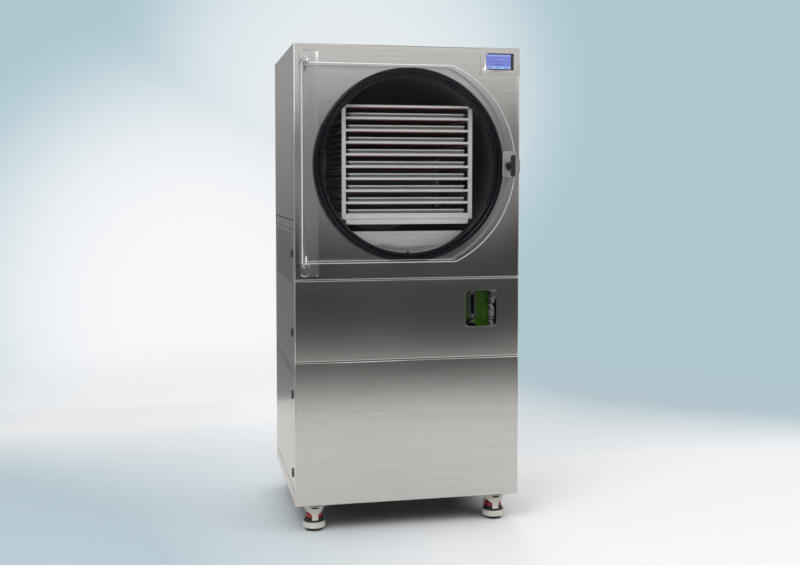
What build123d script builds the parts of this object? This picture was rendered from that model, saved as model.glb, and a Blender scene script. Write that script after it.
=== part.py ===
"""Upright laboratory freeze dryer on levelling casters.

X runs along the width, +Y towards the back, +Z up.  The origin is on the
floor, under the middle of everything that the machine takes up.  Millimetres.
"""
from math import cos, radians, sin, sqrt
import os

from build123d import *

# ---------------------------------------------------------------- cabinet
cabinet_width = 806.0
cabinet_depth = 683.0
cabinet_height = 1600.0
caster_height = 100.0          # floor to the underside of the cabinet
sheet = 1.2                    # stainless sheet of the panels
bend = 4.0                     # outer radius of a fold
seam = 1.6                     # gap between neighbouring panels
front_fold = 24.0              # depth of the front panels' folded sides
side_fold = 16.0               # depth of the side and rear panels' folds
touch = 0.3                    # running gap between pieces that must not bind

front_lower_height = 497.0     # the three front panels, bottom to top
front_middle_height = 282.0
base_rail_height = 50.0        # side skirt of the base pan
base_sheet = 2.0
side_lower_top = 455.0         # side seams, above the cabinet's underside
side_middle_bottom = 471.0
side_middle_top = 962.0
side_upper_bottom = 995.0

# ---------------------------------------------------------------- frame
tube = 30.0
tube_wall = 1.5
deck_sheet = 2.0
cradle_thickness = 6.0
cradle_height = 150.0
cradle_width = 640.0

# ---------------------------------------------------------------- chamber
chamber_height = 1185.0        # axis, above the cabinet's underside
chamber_radius = 312.0         # inside
chamber_wall = 3.0
chamber_depth = 600.0          # mouth to the deepest point of the end
knuckle = 60.0                 # bevel between the wall and the flat end
rim_wall = 14.0                # thickness of the mouth ring
rim_length = 34.0
rim_proud = 14.0
gasket_over = 12.0             # gasket outside the mouth ring
gasket_lip = 6.0               # gasket inside the bore
gasket_proud = 25.0
gasket_bevel = 6.0
foam = 39.0                    # foam round the vessel
foam_end = 30.0                # foam behind the vessel's flat end
vacuum_port_radius = 19.0
vacuum_port_inset = 62.0       # port axis, in from the bore
vacuum_port_back = 250.0       # behind the cabinet's front
drain_port_radius = 8.0
drain_port_back = 500.0
port_wall = 2.0
port_drop = 26.0               # length of a port below the foam
port_clear = 7.0

# ---------------------------------------------------------------- rack
rack_setback = 20.0            # rack front, behind the cabinet's front
rack_end_gap = 20.0            # rack to the start of the vessel's bevelled end
rack_corner_gap = 2.87         # rack's upper corners to the bore
rack_post = 14.0
rack_tie_height = 20.0
rack_tie = 3.0                 # cross ties at the back of the rack
shelf_count = 10
shelf_pitch = 42.9
shelf_thickness = 6.0
top_shelf_height = 1387.0      # top face, above the cabinet's underside
heater_thickness = 1.8
heater_margin = 3.0
tray_side_gap = 8.0            # lip to the rack's post
tray_end_gap = 10.0            # lip to the rack's front and back
tray_height = 19.0
tray_wall = 1.2
tray_lip = 6.0
apron_setback = 24.0
apron_top = 946.0
apron_sheet = 2.0
apron_fold = 18.0

# ---------------------------------------------------------------- door
door_thickness = 20.0
door_radius = 381.0
door_height = 690.0
door_left = -381.0
door_corner = 8.0
door_bevel = 1.5
hinge_inset = 14.0             # pin axis, from the door's left edge
hinge_pin_radius = 4.0
hinge_pin_depth = 26.0
hinge_plate_width = 62.0
hinge_plate_height = 779.0
hinge_plate_rise = 3.5         # the plate's middle, above the door's middle
hinge_plate_thickness = 4.0
hinge_arm = 8.0
hinge_washer = 2.7

# ---------------------------------------------------------------- latch
latch_x = 347.0
latch_rise = -2.0              # latch axis, above the chamber's axis
latch_block_width = 48.0
latch_block_height = 88.0
latch_block_thickness = 10.0
latch_block_shift = 10.0       # block's middle, outside the stem
latch_block_corner = 5.0
latch_block_bevel = 1.5
handle_length = 75.0
handle_width = 14.0
handle_thickness = 13.0
handle_reach = 60.0            # door face to the front of the handle
stem_radius = 6.0
boss_radius = 14.0
boss_height = 9.0
cam_length = 34.0
cam_width = 12.0
cam_thickness = 6.0
cam_gap = 4.5                  # between the cam and the cabinet front
keeper_lip = 4.0               # thickness of the keeper's lip
keeper_height = 46.0
keeper_gap = 1.5               # lip to the turned cam, front to back
keeper_clear = 11.0            # lip to the cam at rest
keeper_end_gap = 3.0           # turned cam's end to the keeper's wall
keeper_edge = 3.0              # keeper to the cabinet's edge

# ---------------------------------------------------------------- front controls
bezel_width = 140.0
bezel_height = 97.0
bezel_thickness = 3.0
screen_width = 96.0
screen_height = 59.0
screen_left = 20.0             # window, from the bezel's left edge
screen_bottom = 19.0
screen_recess = 1.2
screen_depth = 14.0
window_inset = 45.0            # pump window's left edge, left of the pump's inlet
window_width = 115.0
window_bottom = 604.0
window_height = 132.0
window_corner = 14.0

# ---------------------------------------------------------------- rear fittings
valve_reach = 62.0             # rear panel to the end of the drain spout
valve_body_radius = 13.0
valve_body_length = 34.0
pipe_radius = 8.0
spout_radius = 9.0
elbow = 24.0                   # brass elbow block under the vessel
lever_length = 74.0
lever_width = 14.0
lever_thickness = 4.0

# ---------------------------------------------------------------- casters
caster_side_inset = 73.0
caster_end_inset = 65.0
caster_plate = 84.0
caster_plate_thickness = 5.0
race_radius = 30.0
race_height = 7.0
kingpin_radius = 11.0
skirt_wall = 10.4              # housing outside its cavity, at the skirt
neck_wall = 3.4                # and above it
crown_flare = 2.5              # rim of the crown, outside the neck
skirt_bottom = 12.0
skirt_top = 32.0
windows_top = 58.0
cheek_width = 22.0
foot_gap = 1.6                 # foot to the housing's cavity
foot_thickness = 11.0
foot_screw_radius = 7.0
dial_radius = 29.0
dial_height = 11.0
dial_teeth = 12
dial_notch = 4.0
dial_bottom = 46.5
wheel_radius = 25.0
wheel_width = 30.0
wheel_lift = 3.0
wheel_gap = 2.0                # foot to the wheel

# ------------------------------------------------------- places worked out
base_z = caster_height
top_z = base_z + cabinet_height
front_reach = gasket_proud + touch + door_thickness + handle_reach
front_y = (front_reach - valve_reach - cabinet_depth) / 2
rear_y = front_y + cabinet_depth
half_width = cabinet_width / 2
rim_radius = chamber_radius + rim_wall
gasket_outer = rim_radius + gasket_over
gasket_inner = chamber_radius - gasket_lip
foam_outer = chamber_radius + chamber_wall + foam
vacuum_port_x = chamber_radius - vacuum_port_inset
frame_front = front_y + front_fold
frame_rear = rear_y - side_fold
frame_half = half_width - side_fold
frame_depth = frame_rear - frame_front
frame_mid_y = (frame_front + frame_rear) / 2
frame_bottom = base_z + base_sheet
frame_top = top_z - sheet
deck_z = base_z + front_lower_height
chamber_deck_z = deck_z + front_middle_height
chamber_z = base_z + chamber_height
axis_y = front_y - gasket_proud - touch - door_thickness / 2
door_back = front_y - gasket_proud - touch
door_front = door_back - door_thickness
hinge_x = door_left + hinge_inset
latch_z = chamber_z + latch_rise
valve_z = chamber_deck_z + elbow / 2 + touch
rack_front = front_y + rack_setback
rack_depth = chamber_depth - knuckle - rack_end_gap - rack_setback
rack_mid_y = rack_front + rack_depth / 2
top_shelf_z = base_z + top_shelf_height
rack_half = sqrt((chamber_radius - rack_corner_gap)**2 - (top_shelf_z - chamber_z)**2)
rack_width = 2 * rack_half
shelf_width = rack_width - 2 * rack_post
tray_width = shelf_width - 2 * tray_side_gap
tray_depth = rack_depth - 2 * tray_end_gap
low_shelf_z = top_shelf_z - (shelf_count - 1) * shelf_pitch


def lying_on(y):
    """A sketch plane that faces the front, at depth y."""
    return Plane.XZ.offset(-y)


def front_panel(left, right, bottom, top, depth):
    """Sheet folded back on all four sides, with its face on the cabinet's front."""
    with BuildSketch(lying_on(front_y)) as face:
        with Locations(((left + right) / 2, (bottom + top) / 2)):
            Rectangle(right - left, top - bottom)
    extrude(face.sketch, amount=-depth)
    fillet(faces().sort_by(Axis.Y)[0].edges(), bend)
    offset(amount=-sheet, openings=faces().sort_by(Axis.Y)[-1])


def side_panel(side, bottom, top):
    """Side sheet folded in on all four sides; side is -1 for left and 1 for right."""
    face_x = side * half_width
    with BuildSketch(Plane.YZ.offset(face_x)) as face:
        with Locations((frame_mid_y, (bottom + top) / 2)):
            Rectangle(frame_depth - 2 * seam, top - bottom)
    extrude(face.sketch, amount=-side * side_fold)
    outer = faces().sort_by(Axis.X)[-1 if side > 0 else 0]
    fillet(outer.edges().filter_by(Axis.Z), bend / 2)
    inner = faces().sort_by(Axis.X)[0 if side > 0 else -1]
    offset(amount=-sheet, openings=inner)


def square_tube(plane, centre, size, length):
    """A length of hollow frame tube, pushed out of the plane both ways."""
    with BuildSketch(plane) as section:
        with Locations(centre):
            Rectangle(size, size)
            Rectangle(size - 2 * tube_wall, size - 2 * tube_wall, mode=Mode.SUBTRACT)
    extrude(section.sketch, amount=length / 2, both=True)


# ================================================================ cabinet
# Welded frame of square tube: four posts, rails at four levels, two cradles
# under the chamber, and the belts that the side panels stop against.
post_x = frame_half - tube / 2
post_front = frame_front + tube / 2
post_rear = frame_rear - tube / 2
rail_levels = [
    frame_bottom + tube / 2,
    deck_z - tube / 2,
    chamber_deck_z - tube / 2,
    frame_top - tube / 2,
]
cradle_places = [front_y + 150.0, front_y + 450.0]
belts = [(side_lower_top, side_middle_bottom), (side_middle_top, side_upper_bottom)]

with BuildPart() as cabinet_frame:
    with BuildSketch(Plane.XY.offset(frame_bottom)):
        with Locations((0, frame_mid_y)):
            with GridLocations(2 * post_x, post_rear - post_front, 2, 2):
                Rectangle(tube, tube)
                Rectangle(tube - 2 * tube_wall, tube - 2 * tube_wall, mode=Mode.SUBTRACT)
    extrude(amount=frame_top - frame_bottom)
    for level in rail_levels:
        for y in (post_front, post_rear):
            square_tube(Plane.YZ, (y, level), tube, 2 * (post_x - tube / 2))
        for side in (-1, 1):
            square_tube(Plane.XZ.offset(-frame_mid_y), (side * post_x, level), tube,
                        post_rear - post_front - tube)
    for y in cradle_places:
        square_tube(Plane.YZ, (y, chamber_deck_z - tube / 2), tube, 2 * (post_x - tube / 2))
        with BuildSketch(lying_on(y - cradle_thickness / 2)):
            with Locations((0, chamber_deck_z + cradle_height / 2)):
                Rectangle(cradle_width, cradle_height)
            with Locations((0, chamber_z)):
                Circle(foam_outer + touch, mode=Mode.SUBTRACT)
        extrude(amount=-cradle_thickness)
    for low, high in belts:
        for side in (-1, 1):
            with BuildSketch(Plane.YZ.offset(side * half_width)):
                with Locations((frame_mid_y, base_z + (low + high) / 2)):
                    Rectangle(frame_depth - 2 * seam, high - low - 2 * seam)
            extrude(amount=-side * side_fold)

# Base pan: the floor of the cabinet, folded up along both sides.
with BuildPart() as base_pan:
    with BuildSketch(Plane.XY.offset(base_z)):
        with Locations((0, frame_mid_y)):
            Rectangle(cabinet_width, frame_depth - 2 * seam)
    extrude(amount=base_rail_height - 2 * seam)
    fillet(edges().filter_by(Axis.Y).group_by(Axis.Z)[0], bend)
    ends = [faces().sort_by(Axis.Z)[-1], faces().sort_by(Axis.Y)[0], faces().sort_by(Axis.Y)[-1]]
    offset(amount=-base_sheet, openings=ends)

# Deck between the compressor bay and the pump bay, notched round the posts.
with BuildPart() as pump_deck:
    with BuildSketch(Plane.XY.offset(deck_z)):
        with Locations((0, frame_mid_y)):
            Rectangle(2 * frame_half, frame_depth)
            with GridLocations(2 * post_x, post_rear - post_front, 2, 2):
                Rectangle(tube + 2 * touch, tube + 2 * touch, mode=Mode.SUBTRACT)
    extrude(amount=deck_sheet)

# ---------------------------------------------------------------- skins
# Top and both upper sides are one sheet, folded over the frame.
with BuildPart() as upper_shell:
    shell_bottom = base_z + side_upper_bottom + seam
    with BuildSketch(lying_on(frame_front + seam)):
        with Locations((0, (shell_bottom + top_z) / 2)):
            Rectangle(cabinet_width, top_z - shell_bottom)
    extrude(amount=-(frame_depth - 2 * seam))
    fillet(edges().filter_by(Axis.Y).group_by(Axis.Z)[-1], bend)
    ends = [faces().sort_by(Axis.Z)[0], faces().sort_by(Axis.Y)[0], faces().sort_by(Axis.Y)[-1]]
    offset(amount=-sheet, openings=ends)
    with BuildSketch(Plane.XY.offset(shell_bottom)):
        for side in (-1, 1):
            with Locations((side * (half_width - side_fold / 2), frame_mid_y)):
                Rectangle(side_fold, frame_depth - 2 * seam)
    extrude(amount=sheet)

# Front panels, bottom to top.
window_x = vacuum_port_x - window_inset + window_width / 2
with BuildPart() as front_lower_panel:
    front_panel(-half_width, half_width, base_z, deck_z - seam / 2, front_fold)

with BuildPart() as front_middle_panel:
    front_panel(-half_width, half_width, deck_z + seam / 2, chamber_deck_z - seam / 2, front_fold)
    with BuildSketch(lying_on(front_y)):
        with Locations((window_x, base_z + window_bottom + window_height / 2)):
            RectangleRounded(window_width, window_height, window_corner)
    extrude(amount=-2 * sheet, mode=Mode.SUBTRACT)

bezel_right = half_width
bezel_left = bezel_right - bezel_width
bezel_bottom = top_z - bezel_height
screen_x = bezel_left + screen_left + screen_width / 2
screen_z = bezel_bottom + screen_bottom + screen_height / 2
with BuildPart() as front_upper_panel:
    front_panel(-half_width, half_width, chamber_deck_z + seam / 2, top_z, front_fold)
    with BuildSketch(lying_on(front_y)):
        with Locations((0, chamber_z)):
            Circle(rim_radius + touch)
        with Locations((screen_x, screen_z)):
            Rectangle(screen_width + 2 * sheet, screen_height + 2 * sheet)
    extrude(amount=-2 * sheet, mode=Mode.SUBTRACT)

# Rear panel: one sheet, louvred over the condenser.
slot_length = 120.0
slot_height = 8.0
slot_pitch = 24.0
slot_columns = 2
slot_rows = 12
vent_x = 150.0
vent_z = base_z + 270.0
inlet_x = -250.0
inlet_z = base_z + 150.0
inlet_width = 48.0
inlet_height = 30.0
switch_x = inlet_x + 60.0
switch_width = 22.0
switch_height = 30.0
with BuildPart() as rear_panel:
    with BuildSketch(Plane.XZ.offset(-rear_y)):
        with Locations((0, (base_z + top_z) / 2)):
            Rectangle(cabinet_width, top_z - base_z)
    extrude(amount=side_fold)
    fillet(faces().sort_by(Axis.Y)[-1].edges().filter_by(Axis.Z), bend / 2)
    offset(amount=-sheet, openings=faces().sort_by(Axis.Y)[0])
    with BuildSketch(lying_on(rear_y - 2 * sheet)):
        with Locations((vent_x, vent_z)):
            with GridLocations(slot_length + 24, slot_pitch, slot_columns, slot_rows):
                Rectangle(slot_length, slot_height)
        with Locations((0, valve_z)):
            Circle(pipe_radius + 1)
        with Locations((inlet_x, inlet_z)):
            Rectangle(inlet_width - 6, inlet_height - 6)
        with Locations((switch_x, inlet_z)):
            Rectangle(switch_width - 4, switch_height - 4)
    extrude(amount=-4 * sheet, mode=Mode.SUBTRACT)

# Side panels, two on each side, with a hole for each quarter-turn fastener.
fastener_radius = 16.0
fastener_proud = 4.0
fastener_shank = 7.0           # square shank of the quarter-turn stud
fastener_setback = 70.0
fastener_heights = [104.0, 382.0, 601.0, 878.0]


def fastener_holes(side, heights):
    """Clear holes through a side panel for the fasteners at these heights."""
    with BuildSketch(Plane.YZ.offset(side * half_width)) as holes:
        for height in heights:
            with Locations((front_y + fastener_setback, base_z + height)):
                Rectangle(fastener_shank + 2 * touch, fastener_shank + 2 * touch)
    extrude(holes.sketch, amount=-side * 2 * sheet, mode=Mode.SUBTRACT)


lower_span = (base_z + base_rail_height, base_z + side_lower_top)
middle_span = (base_z + side_middle_bottom, base_z + side_middle_top)
with BuildPart() as left_lower_panel:
    side_panel(-1, *lower_span)
    fastener_holes(-1, fastener_heights[:2])

with BuildPart() as left_middle_panel:
    side_panel(-1, *middle_span)
    fastener_holes(-1, fastener_heights[2:])

with BuildPart() as right_lower_panel:
    side_panel(1, *lower_span)
    fastener_holes(1, fastener_heights[:2])

with BuildPart() as right_middle_panel:
    side_panel(1, *middle_span)
    fastener_holes(1, fastener_heights[2:])

# Quarter-turn fasteners: a round head with a slot, and a shank into the panel.
fastener_slot = 3.0
with BuildPart() as panel_fasteners:
    for side in (-1, 1):
        for height in fastener_heights:
            head = Plane(origin=(side * half_width, front_y + fastener_setback, base_z + height),
                         x_dir=(0, 1, 0), z_dir=(side, 0, 0))
            with BuildSketch(head):
                Circle(fastener_radius)
            extrude(amount=fastener_proud)
            with BuildSketch(head):
                Rectangle(fastener_shank, fastener_shank)
            extrude(amount=-(side_fold - 2))
            with BuildSketch(head.offset(fastener_proud)):
                Rectangle(fastener_slot, fastener_radius)
            extrude(amount=-fastener_proud / 2, mode=Mode.SUBTRACT)

# ================================================================ chamber
chamber_back = front_y + chamber_depth
rim_front = front_y - rim_proud


def port_end(x):
    """Height of the lower end of a port at x, below the foam on its inner side."""
    inner_side = max(0, x - vacuum_port_radius - port_clear)
    return chamber_z - sqrt(foam_outer**2 - inner_side**2) - port_drop


# Vessel: thick mouth ring, straight wall and bevelled end, with its two ports.
with BuildPart() as chamber_shell:
    outer = chamber_radius + chamber_wall
    outer_knuckle = knuckle + chamber_wall / 2
    with BuildSketch(Plane.XY.offset(chamber_z)):
        with BuildLine():
            Polyline(
                (chamber_radius, chamber_back - knuckle), (chamber_radius, rim_front),
                (rim_radius, rim_front), (rim_radius, rim_front + rim_length),
                (outer, rim_front + rim_length), (outer, chamber_back + chamber_wall - outer_knuckle),
                (outer - outer_knuckle, chamber_back + chamber_wall), (0, chamber_back + chamber_wall),
                (0, chamber_back), (chamber_radius - knuckle, chamber_back), close=True)
        make_face()
    revolve(axis=Axis((0, 0, chamber_z), (0, 1, 0)))
    ports = [
        (vacuum_port_x, front_y + vacuum_port_back, vacuum_port_radius),
        (0.0, front_y + drain_port_back, drain_port_radius),
    ]
    for x, y, radius in ports:
        wall_top = chamber_z - sqrt(chamber_radius**2 - (x + radius)**2)
        with BuildSketch(Plane.XY.offset(port_end(x))):
            with Locations((x, y)):
                Circle(radius)
        extrude(amount=wall_top - port_end(x))
        with BuildSketch(lying_on(y - radius)):
            with Locations((0, chamber_z)):
                Circle(chamber_radius)
        extrude(amount=-2 * radius, mode=Mode.SUBTRACT)
        with BuildSketch(Plane.XY.offset(port_end(x))):
            with Locations((x, y)):
                Circle(radius - port_wall)
        extrude(amount=wall_top - port_end(x), mode=Mode.SUBTRACT)

# Foam jacket round the vessel, clear of the ports.
with BuildPart() as chamber_insulation:
    jacket_inner = chamber_radius + chamber_wall + touch
    jacket_front = front_y + front_fold + 2
    jacket_back = chamber_back + chamber_wall + foam_end
    with BuildSketch(lying_on(jacket_front)):
        with Locations((0, chamber_z)):
            Circle(foam_outer)
    extrude(amount=-(jacket_back - jacket_front))
    with BuildSketch(lying_on(jacket_front)):
        with Locations((0, chamber_z)):
            Circle(jacket_inner)
    extrude(amount=-(chamber_back + chamber_wall + touch - jacket_front), mode=Mode.SUBTRACT)
    with BuildSketch(Plane.XY.offset(chamber_z)):
        for x, y, radius in ports:
            with Locations((x, y)):
                Circle(radius + touch)
    extrude(amount=-foam_outer - 1, mode=Mode.SUBTRACT)
    with BuildSketch(Plane.XY.offset(chamber_deck_z)):
        with Locations((0, frame_mid_y)):
            with GridLocations(2 * post_x, post_rear - post_front, 2, 2):
                Rectangle(tube + 2 * touch, tube + 2 * touch)
    extrude(amount=frame_top - chamber_deck_z, mode=Mode.SUBTRACT)

# Rubber gasket: a channel pressed over the mouth ring.
with BuildPart() as chamber_gasket:
    gasket_front = front_y - gasket_proud
    lip_back = front_y - touch
    with BuildSketch(Plane.XY.offset(chamber_z)):
        with BuildLine():
            Polyline(
                (gasket_outer, lip_back), (gasket_outer, gasket_front + gasket_bevel),
                (gasket_outer - gasket_bevel, gasket_front), (gasket_inner, gasket_front),
                (gasket_inner, lip_back),
                (chamber_radius, lip_back), (chamber_radius, rim_front),
                (rim_radius, rim_front), (rim_radius, lip_back), close=True)
        make_face()
    revolve(axis=Axis((0, 0, chamber_z), (0, 1, 0)))

# Sheet apron across the bottom of the mouth, folded back along its top.
with BuildPart() as lower_apron:
    apron_y = front_y + apron_setback
    apron_rise = base_z + apron_top
    with BuildSketch(lying_on(apron_y)):
        with Locations((0, chamber_z)):
            Circle(chamber_radius - touch)
        with Locations((0, apron_rise)):
            Rectangle(3 * chamber_radius, 3 * chamber_radius,
                      align=(Align.CENTER, Align.MIN), mode=Mode.SUBTRACT)
    extrude(amount=-apron_sheet)
    fold_half = sqrt((chamber_radius - touch)**2 - (apron_rise - chamber_z - apron_sheet)**2)
    with BuildSketch(lying_on(apron_y)):
        with Locations((0, apron_rise - apron_sheet / 2)):
            Rectangle(2 * fold_half - 2, apron_sheet)
    extrude(amount=-apron_fold)
    with BuildSketch(lying_on(apron_y)):
        with Locations((0, chamber_z - chamber_radius)):
            Circle(9)
    extrude(amount=-2 * apron_sheet, mode=Mode.SUBTRACT)

# ================================================================ rack
post_bottom = low_shelf_z - shelf_thickness
post_x_rack = (rack_width - rack_post) / 2
skid_width = 10.0
skid_x = post_x_rack - rack_post / 2 - skid_width / 2 - touch
skid_bottom = chamber_z - sqrt((chamber_radius - touch)**2 - (skid_x + skid_width / 2)**2)
shelf_depth = rack_depth - rack_tie - touch

# Rack frame: four posts, side and cross ties, and two skids on the chamber wall.
with BuildPart() as rack_frame:
    with BuildSketch(Plane.XY.offset(post_bottom)):
        with Locations((0, rack_mid_y)):
            with GridLocations(2 * post_x_rack, rack_depth - rack_post, 2, 2):
                Rectangle(rack_post, rack_post)
    extrude(amount=top_shelf_z - shelf_thickness - post_bottom)
    with BuildSketch(lying_on(rack_front + rack_post)):
        for side in (-1, 1):
            with Locations(*[(side * post_x_rack, low_shelf_z + i * shelf_pitch - shelf_thickness)
                             for i in range(0, shelf_count - 1, 2)]):
                Rectangle(rack_post / 2, shelf_thickness)
    extrude(amount=-(rack_depth - 2 * rack_post))
    with BuildSketch(lying_on(rack_front)):
        for side in (-1, 1):
            with Locations((side * post_x_rack, post_bottom)):
                Rectangle(rack_post, shelf_thickness, align=(Align.CENTER, Align.MIN))
            with Locations((side * (skid_x + rack_post / 4), post_bottom)):
                Rectangle(skid_width + rack_post / 2, shelf_thickness / 2,
                          align=(Align.CENTER, Align.MAX))
            with Locations((side * skid_x, post_bottom)):
                Rectangle(skid_width, post_bottom - skid_bottom,
                          align=(Align.CENTER, Align.MAX))
    extrude(amount=-rack_depth)
    with BuildSketch(lying_on(rack_front + rack_depth - rack_tie)):
        with Locations((0, post_bottom), (0, top_shelf_z - shelf_pitch)):
            Rectangle(2 * post_x_rack, rack_tie_height, align=(Align.CENTER, Align.MIN))
    extrude(amount=-rack_tie)

# Shelves: flat plates between the posts; the lowest has a deep front edge.
shelf_front_drop = 26.0
shelf_edge = 1.5
with BuildPart() as shelves:
    for i in range(shelf_count):
        top = low_shelf_z + i * shelf_pitch
        with BuildSketch(Plane.XY.offset(top - shelf_thickness)):
            with Locations((0, rack_front + shelf_depth / 2)):
                Rectangle(shelf_width - 2 * touch, shelf_depth)
        extrude(amount=shelf_thickness)
    chamfer(edges().filter_by(Axis.X).group_by(Axis.Y)[0], shelf_edge)
    skid_inner = skid_x - skid_width / 2 - touch
    with BuildSketch(lying_on(rack_front + shelf_edge)):
        with Locations((0, low_shelf_z - shelf_thickness)):
            Rectangle(2 * skid_inner, shelf_front_drop, align=(Align.CENTER, Align.MAX))
    extrude(amount=-3)

# Silicone heater mats under the shelves.
with BuildPart() as heater_pads:
    for i in range(shelf_count):
        under = low_shelf_z + i * shelf_pitch - shelf_thickness
        front = rack_front + (heater_margin if i else 3 * heater_margin)
        with BuildSketch(Plane.XY.offset(under)):
            with Locations((0, (front + rack_front + shelf_depth - heater_margin) / 2)):
                Rectangle(2 * skid_inner, rack_front + shelf_depth - heater_margin - front)
        extrude(amount=-heater_thickness)

# Trays: folded pans with a turned-out lip, one on each shelf but the top one.
with BuildPart() as trays:
    for i in range(shelf_count - 1):
        floor = low_shelf_z + i * shelf_pitch
        with BuildSketch(Plane.XY.offset(floor)):
            with Locations((0, rack_mid_y)):
                Rectangle(tray_width - 2 * tray_lip, tray_depth - 2 * tray_lip)
        extrude(amount=tray_height)
        with BuildSketch(Plane.XY.offset(floor + tray_wall)):
            with Locations((0, rack_mid_y)):
                Rectangle(tray_width - 2 * (tray_lip + tray_wall),
                          tray_depth - 2 * (tray_lip + tray_wall))
        extrude(amount=tray_height, mode=Mode.SUBTRACT)
        with BuildSketch(Plane.XY.offset(floor + tray_height - 2 * tray_wall)):
            with Locations((0, rack_mid_y)):
                Rectangle(tray_width, tray_depth)
                Rectangle(tray_width - 2 * tray_lip, tray_depth - 2 * tray_lip,
                          mode=Mode.SUBTRACT)
        extrude(amount=2 * tray_wall)

# ================================================================ door
# Clear door: straight towards the hinges, round over the chamber's mouth.
door_half = door_height / 2
shoulder_x = sqrt(door_radius**2 - door_half**2)
with BuildPart() as door_panel:
    with BuildSketch(lying_on(door_front)):
        with BuildLine():
            low = chamber_z - door_half
            high = chamber_z + door_half
            Polyline((shoulder_x, low), (door_left, low), (door_left, high), (shoulder_x, high))
            ThreePointArc((shoulder_x, high), (door_radius, chamber_z), (shoulder_x, low))
        make_face()
        fillet(vertices().group_by(Axis.X)[0], door_corner)
    extrude(amount=-door_thickness)
    chamfer(faces().sort_by(Axis.Y)[0].edges(), door_bevel)
    with BuildSketch(Plane.XY.offset(low - 1)):
        with Locations((hinge_x, axis_y)):
            Circle(hinge_pin_radius + touch)
    extrude(amount=hinge_pin_depth + 2, mode=Mode.SUBTRACT)
    with BuildSketch(Plane.XY.offset(high + 1)):
        with Locations((hinge_x, axis_y)):
            Circle(hinge_pin_radius + touch)
    extrude(amount=-hinge_pin_depth - 2, mode=Mode.SUBTRACT)
    with BuildSketch(lying_on(door_front)):
        with Locations((latch_x, latch_z)):
            Circle(stem_radius + touch)
    extrude(amount=-door_thickness, mode=Mode.SUBTRACT)

# Plate behind the hinges, cut away round the gasket.
plate_x = door_left + hinge_plate_width / 2
plate_z = chamber_z + hinge_plate_rise
with BuildPart() as hinge_plate:
    with BuildSketch(lying_on(front_y)):
        with Locations((plate_x, plate_z)):
            RectangleRounded(hinge_plate_width, hinge_plate_height, door_corner)
        with Locations((0, chamber_z)):
            Circle(gasket_outer + 1, mode=Mode.SUBTRACT)
    extrude(amount=hinge_plate_thickness)

# Hinge brackets: a bolted leg on the plate and a rounded arm out to the pin.
bracket_width = 30.0
bracket_leg = 44.0
with BuildPart() as hinge_brackets:
    for end in (-1, 1):
        arm_face = chamber_z + end * (door_half + hinge_washer)
        with BuildSketch(Plane.XY.offset(arm_face)):
            with Locations((hinge_x, (axis_y + front_y - hinge_plate_thickness) / 2)):
                Rectangle(bracket_width, front_y - hinge_plate_thickness - axis_y)
            with Locations((hinge_x, axis_y)):
                Circle(bracket_width / 2)
                Circle(hinge_pin_radius, mode=Mode.SUBTRACT)
        extrude(amount=end * hinge_arm)
        leg_y = front_y - hinge_plate_thickness
        leg_round = arm_face + end * (bracket_leg - bracket_width / 2)
        with BuildSketch(lying_on(leg_y)):
            with Locations((hinge_x, (arm_face + leg_round) / 2)):
                Rectangle(bracket_width, bracket_leg - bracket_width / 2)
            with Locations((hinge_x, leg_round)):
                Circle(bracket_width / 2)
        extrude(amount=hinge_arm)

# Shoulder pins: hexagon head over the arm, collar under it, shank in the door.
pin_head = 13.0
pin_head_height = 5.0
pin_collar = 3.0               # collar under the arm, outside the shank
with BuildPart() as hinge_pins:
    for end in (-1, 1):
        seat = chamber_z + end * (door_half + hinge_washer + hinge_arm)
        with BuildSketch(Plane.XY.offset(seat)):
            with Locations((hinge_x, axis_y)):
                RegularPolygon(pin_head / 2, 6, major_radius=False)
        extrude(amount=end * pin_head_height)
        with BuildSketch(Plane.XY.offset(seat)):
            with Locations((hinge_x, axis_y)):
                Circle(hinge_pin_radius)
        extrude(amount=-end * (hinge_arm + hinge_washer + hinge_pin_depth))
        with BuildSketch(Plane.XY.offset(seat - end * hinge_arm)):
            with Locations((hinge_x, axis_y)):
                Circle(hinge_pin_radius + pin_collar)
        extrude(amount=-end * (hinge_washer - touch))

# ---------------------------------------------------------------- latch
block_front = door_front - latch_block_thickness
with BuildPart() as latch_block:
    with BuildSketch(lying_on(door_front)):
        with Locations((latch_x + latch_block_shift, latch_z)):
            RectangleRounded(latch_block_width, latch_block_height, latch_block_corner)
            with Locations((-latch_block_shift, 0)):
                Circle(stem_radius + touch, mode=Mode.SUBTRACT)
    extrude(amount=latch_block_thickness)
    chamfer(faces().sort_by(Axis.Y)[0].edges().filter_by(GeomType.LINE), latch_block_bevel)

# Quarter-turn handle: bar, stem through the door, and the cam behind it.
handle_front = door_front - handle_reach
cam_front = front_y - cam_gap - cam_thickness
with BuildPart() as latch_handle:
    with BuildSketch(lying_on(handle_front)):
        with Locations((latch_x, latch_z)):
            SlotOverall(handle_length, handle_width, rotation=90)
    extrude(amount=-handle_thickness)
    with BuildSketch(lying_on(handle_front + handle_thickness)):
        with Locations((latch_x, latch_z)):
            Circle(stem_radius)
    extrude(amount=-(cam_front + cam_thickness - handle_front - handle_thickness))
    with BuildSketch(lying_on(block_front - touch)):
        with Locations((latch_x, latch_z)):
            Circle(boss_radius)
    extrude(amount=boss_height)
    with BuildSketch(lying_on(cam_front)):
        with Locations((latch_x, latch_z)):
            Circle(stem_radius + 1)
        with Locations((latch_x, latch_z)):
            Rectangle(cam_width, cam_length, align=(Align.CENTER, Align.MIN))
    extrude(amount=-cam_thickness)

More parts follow.
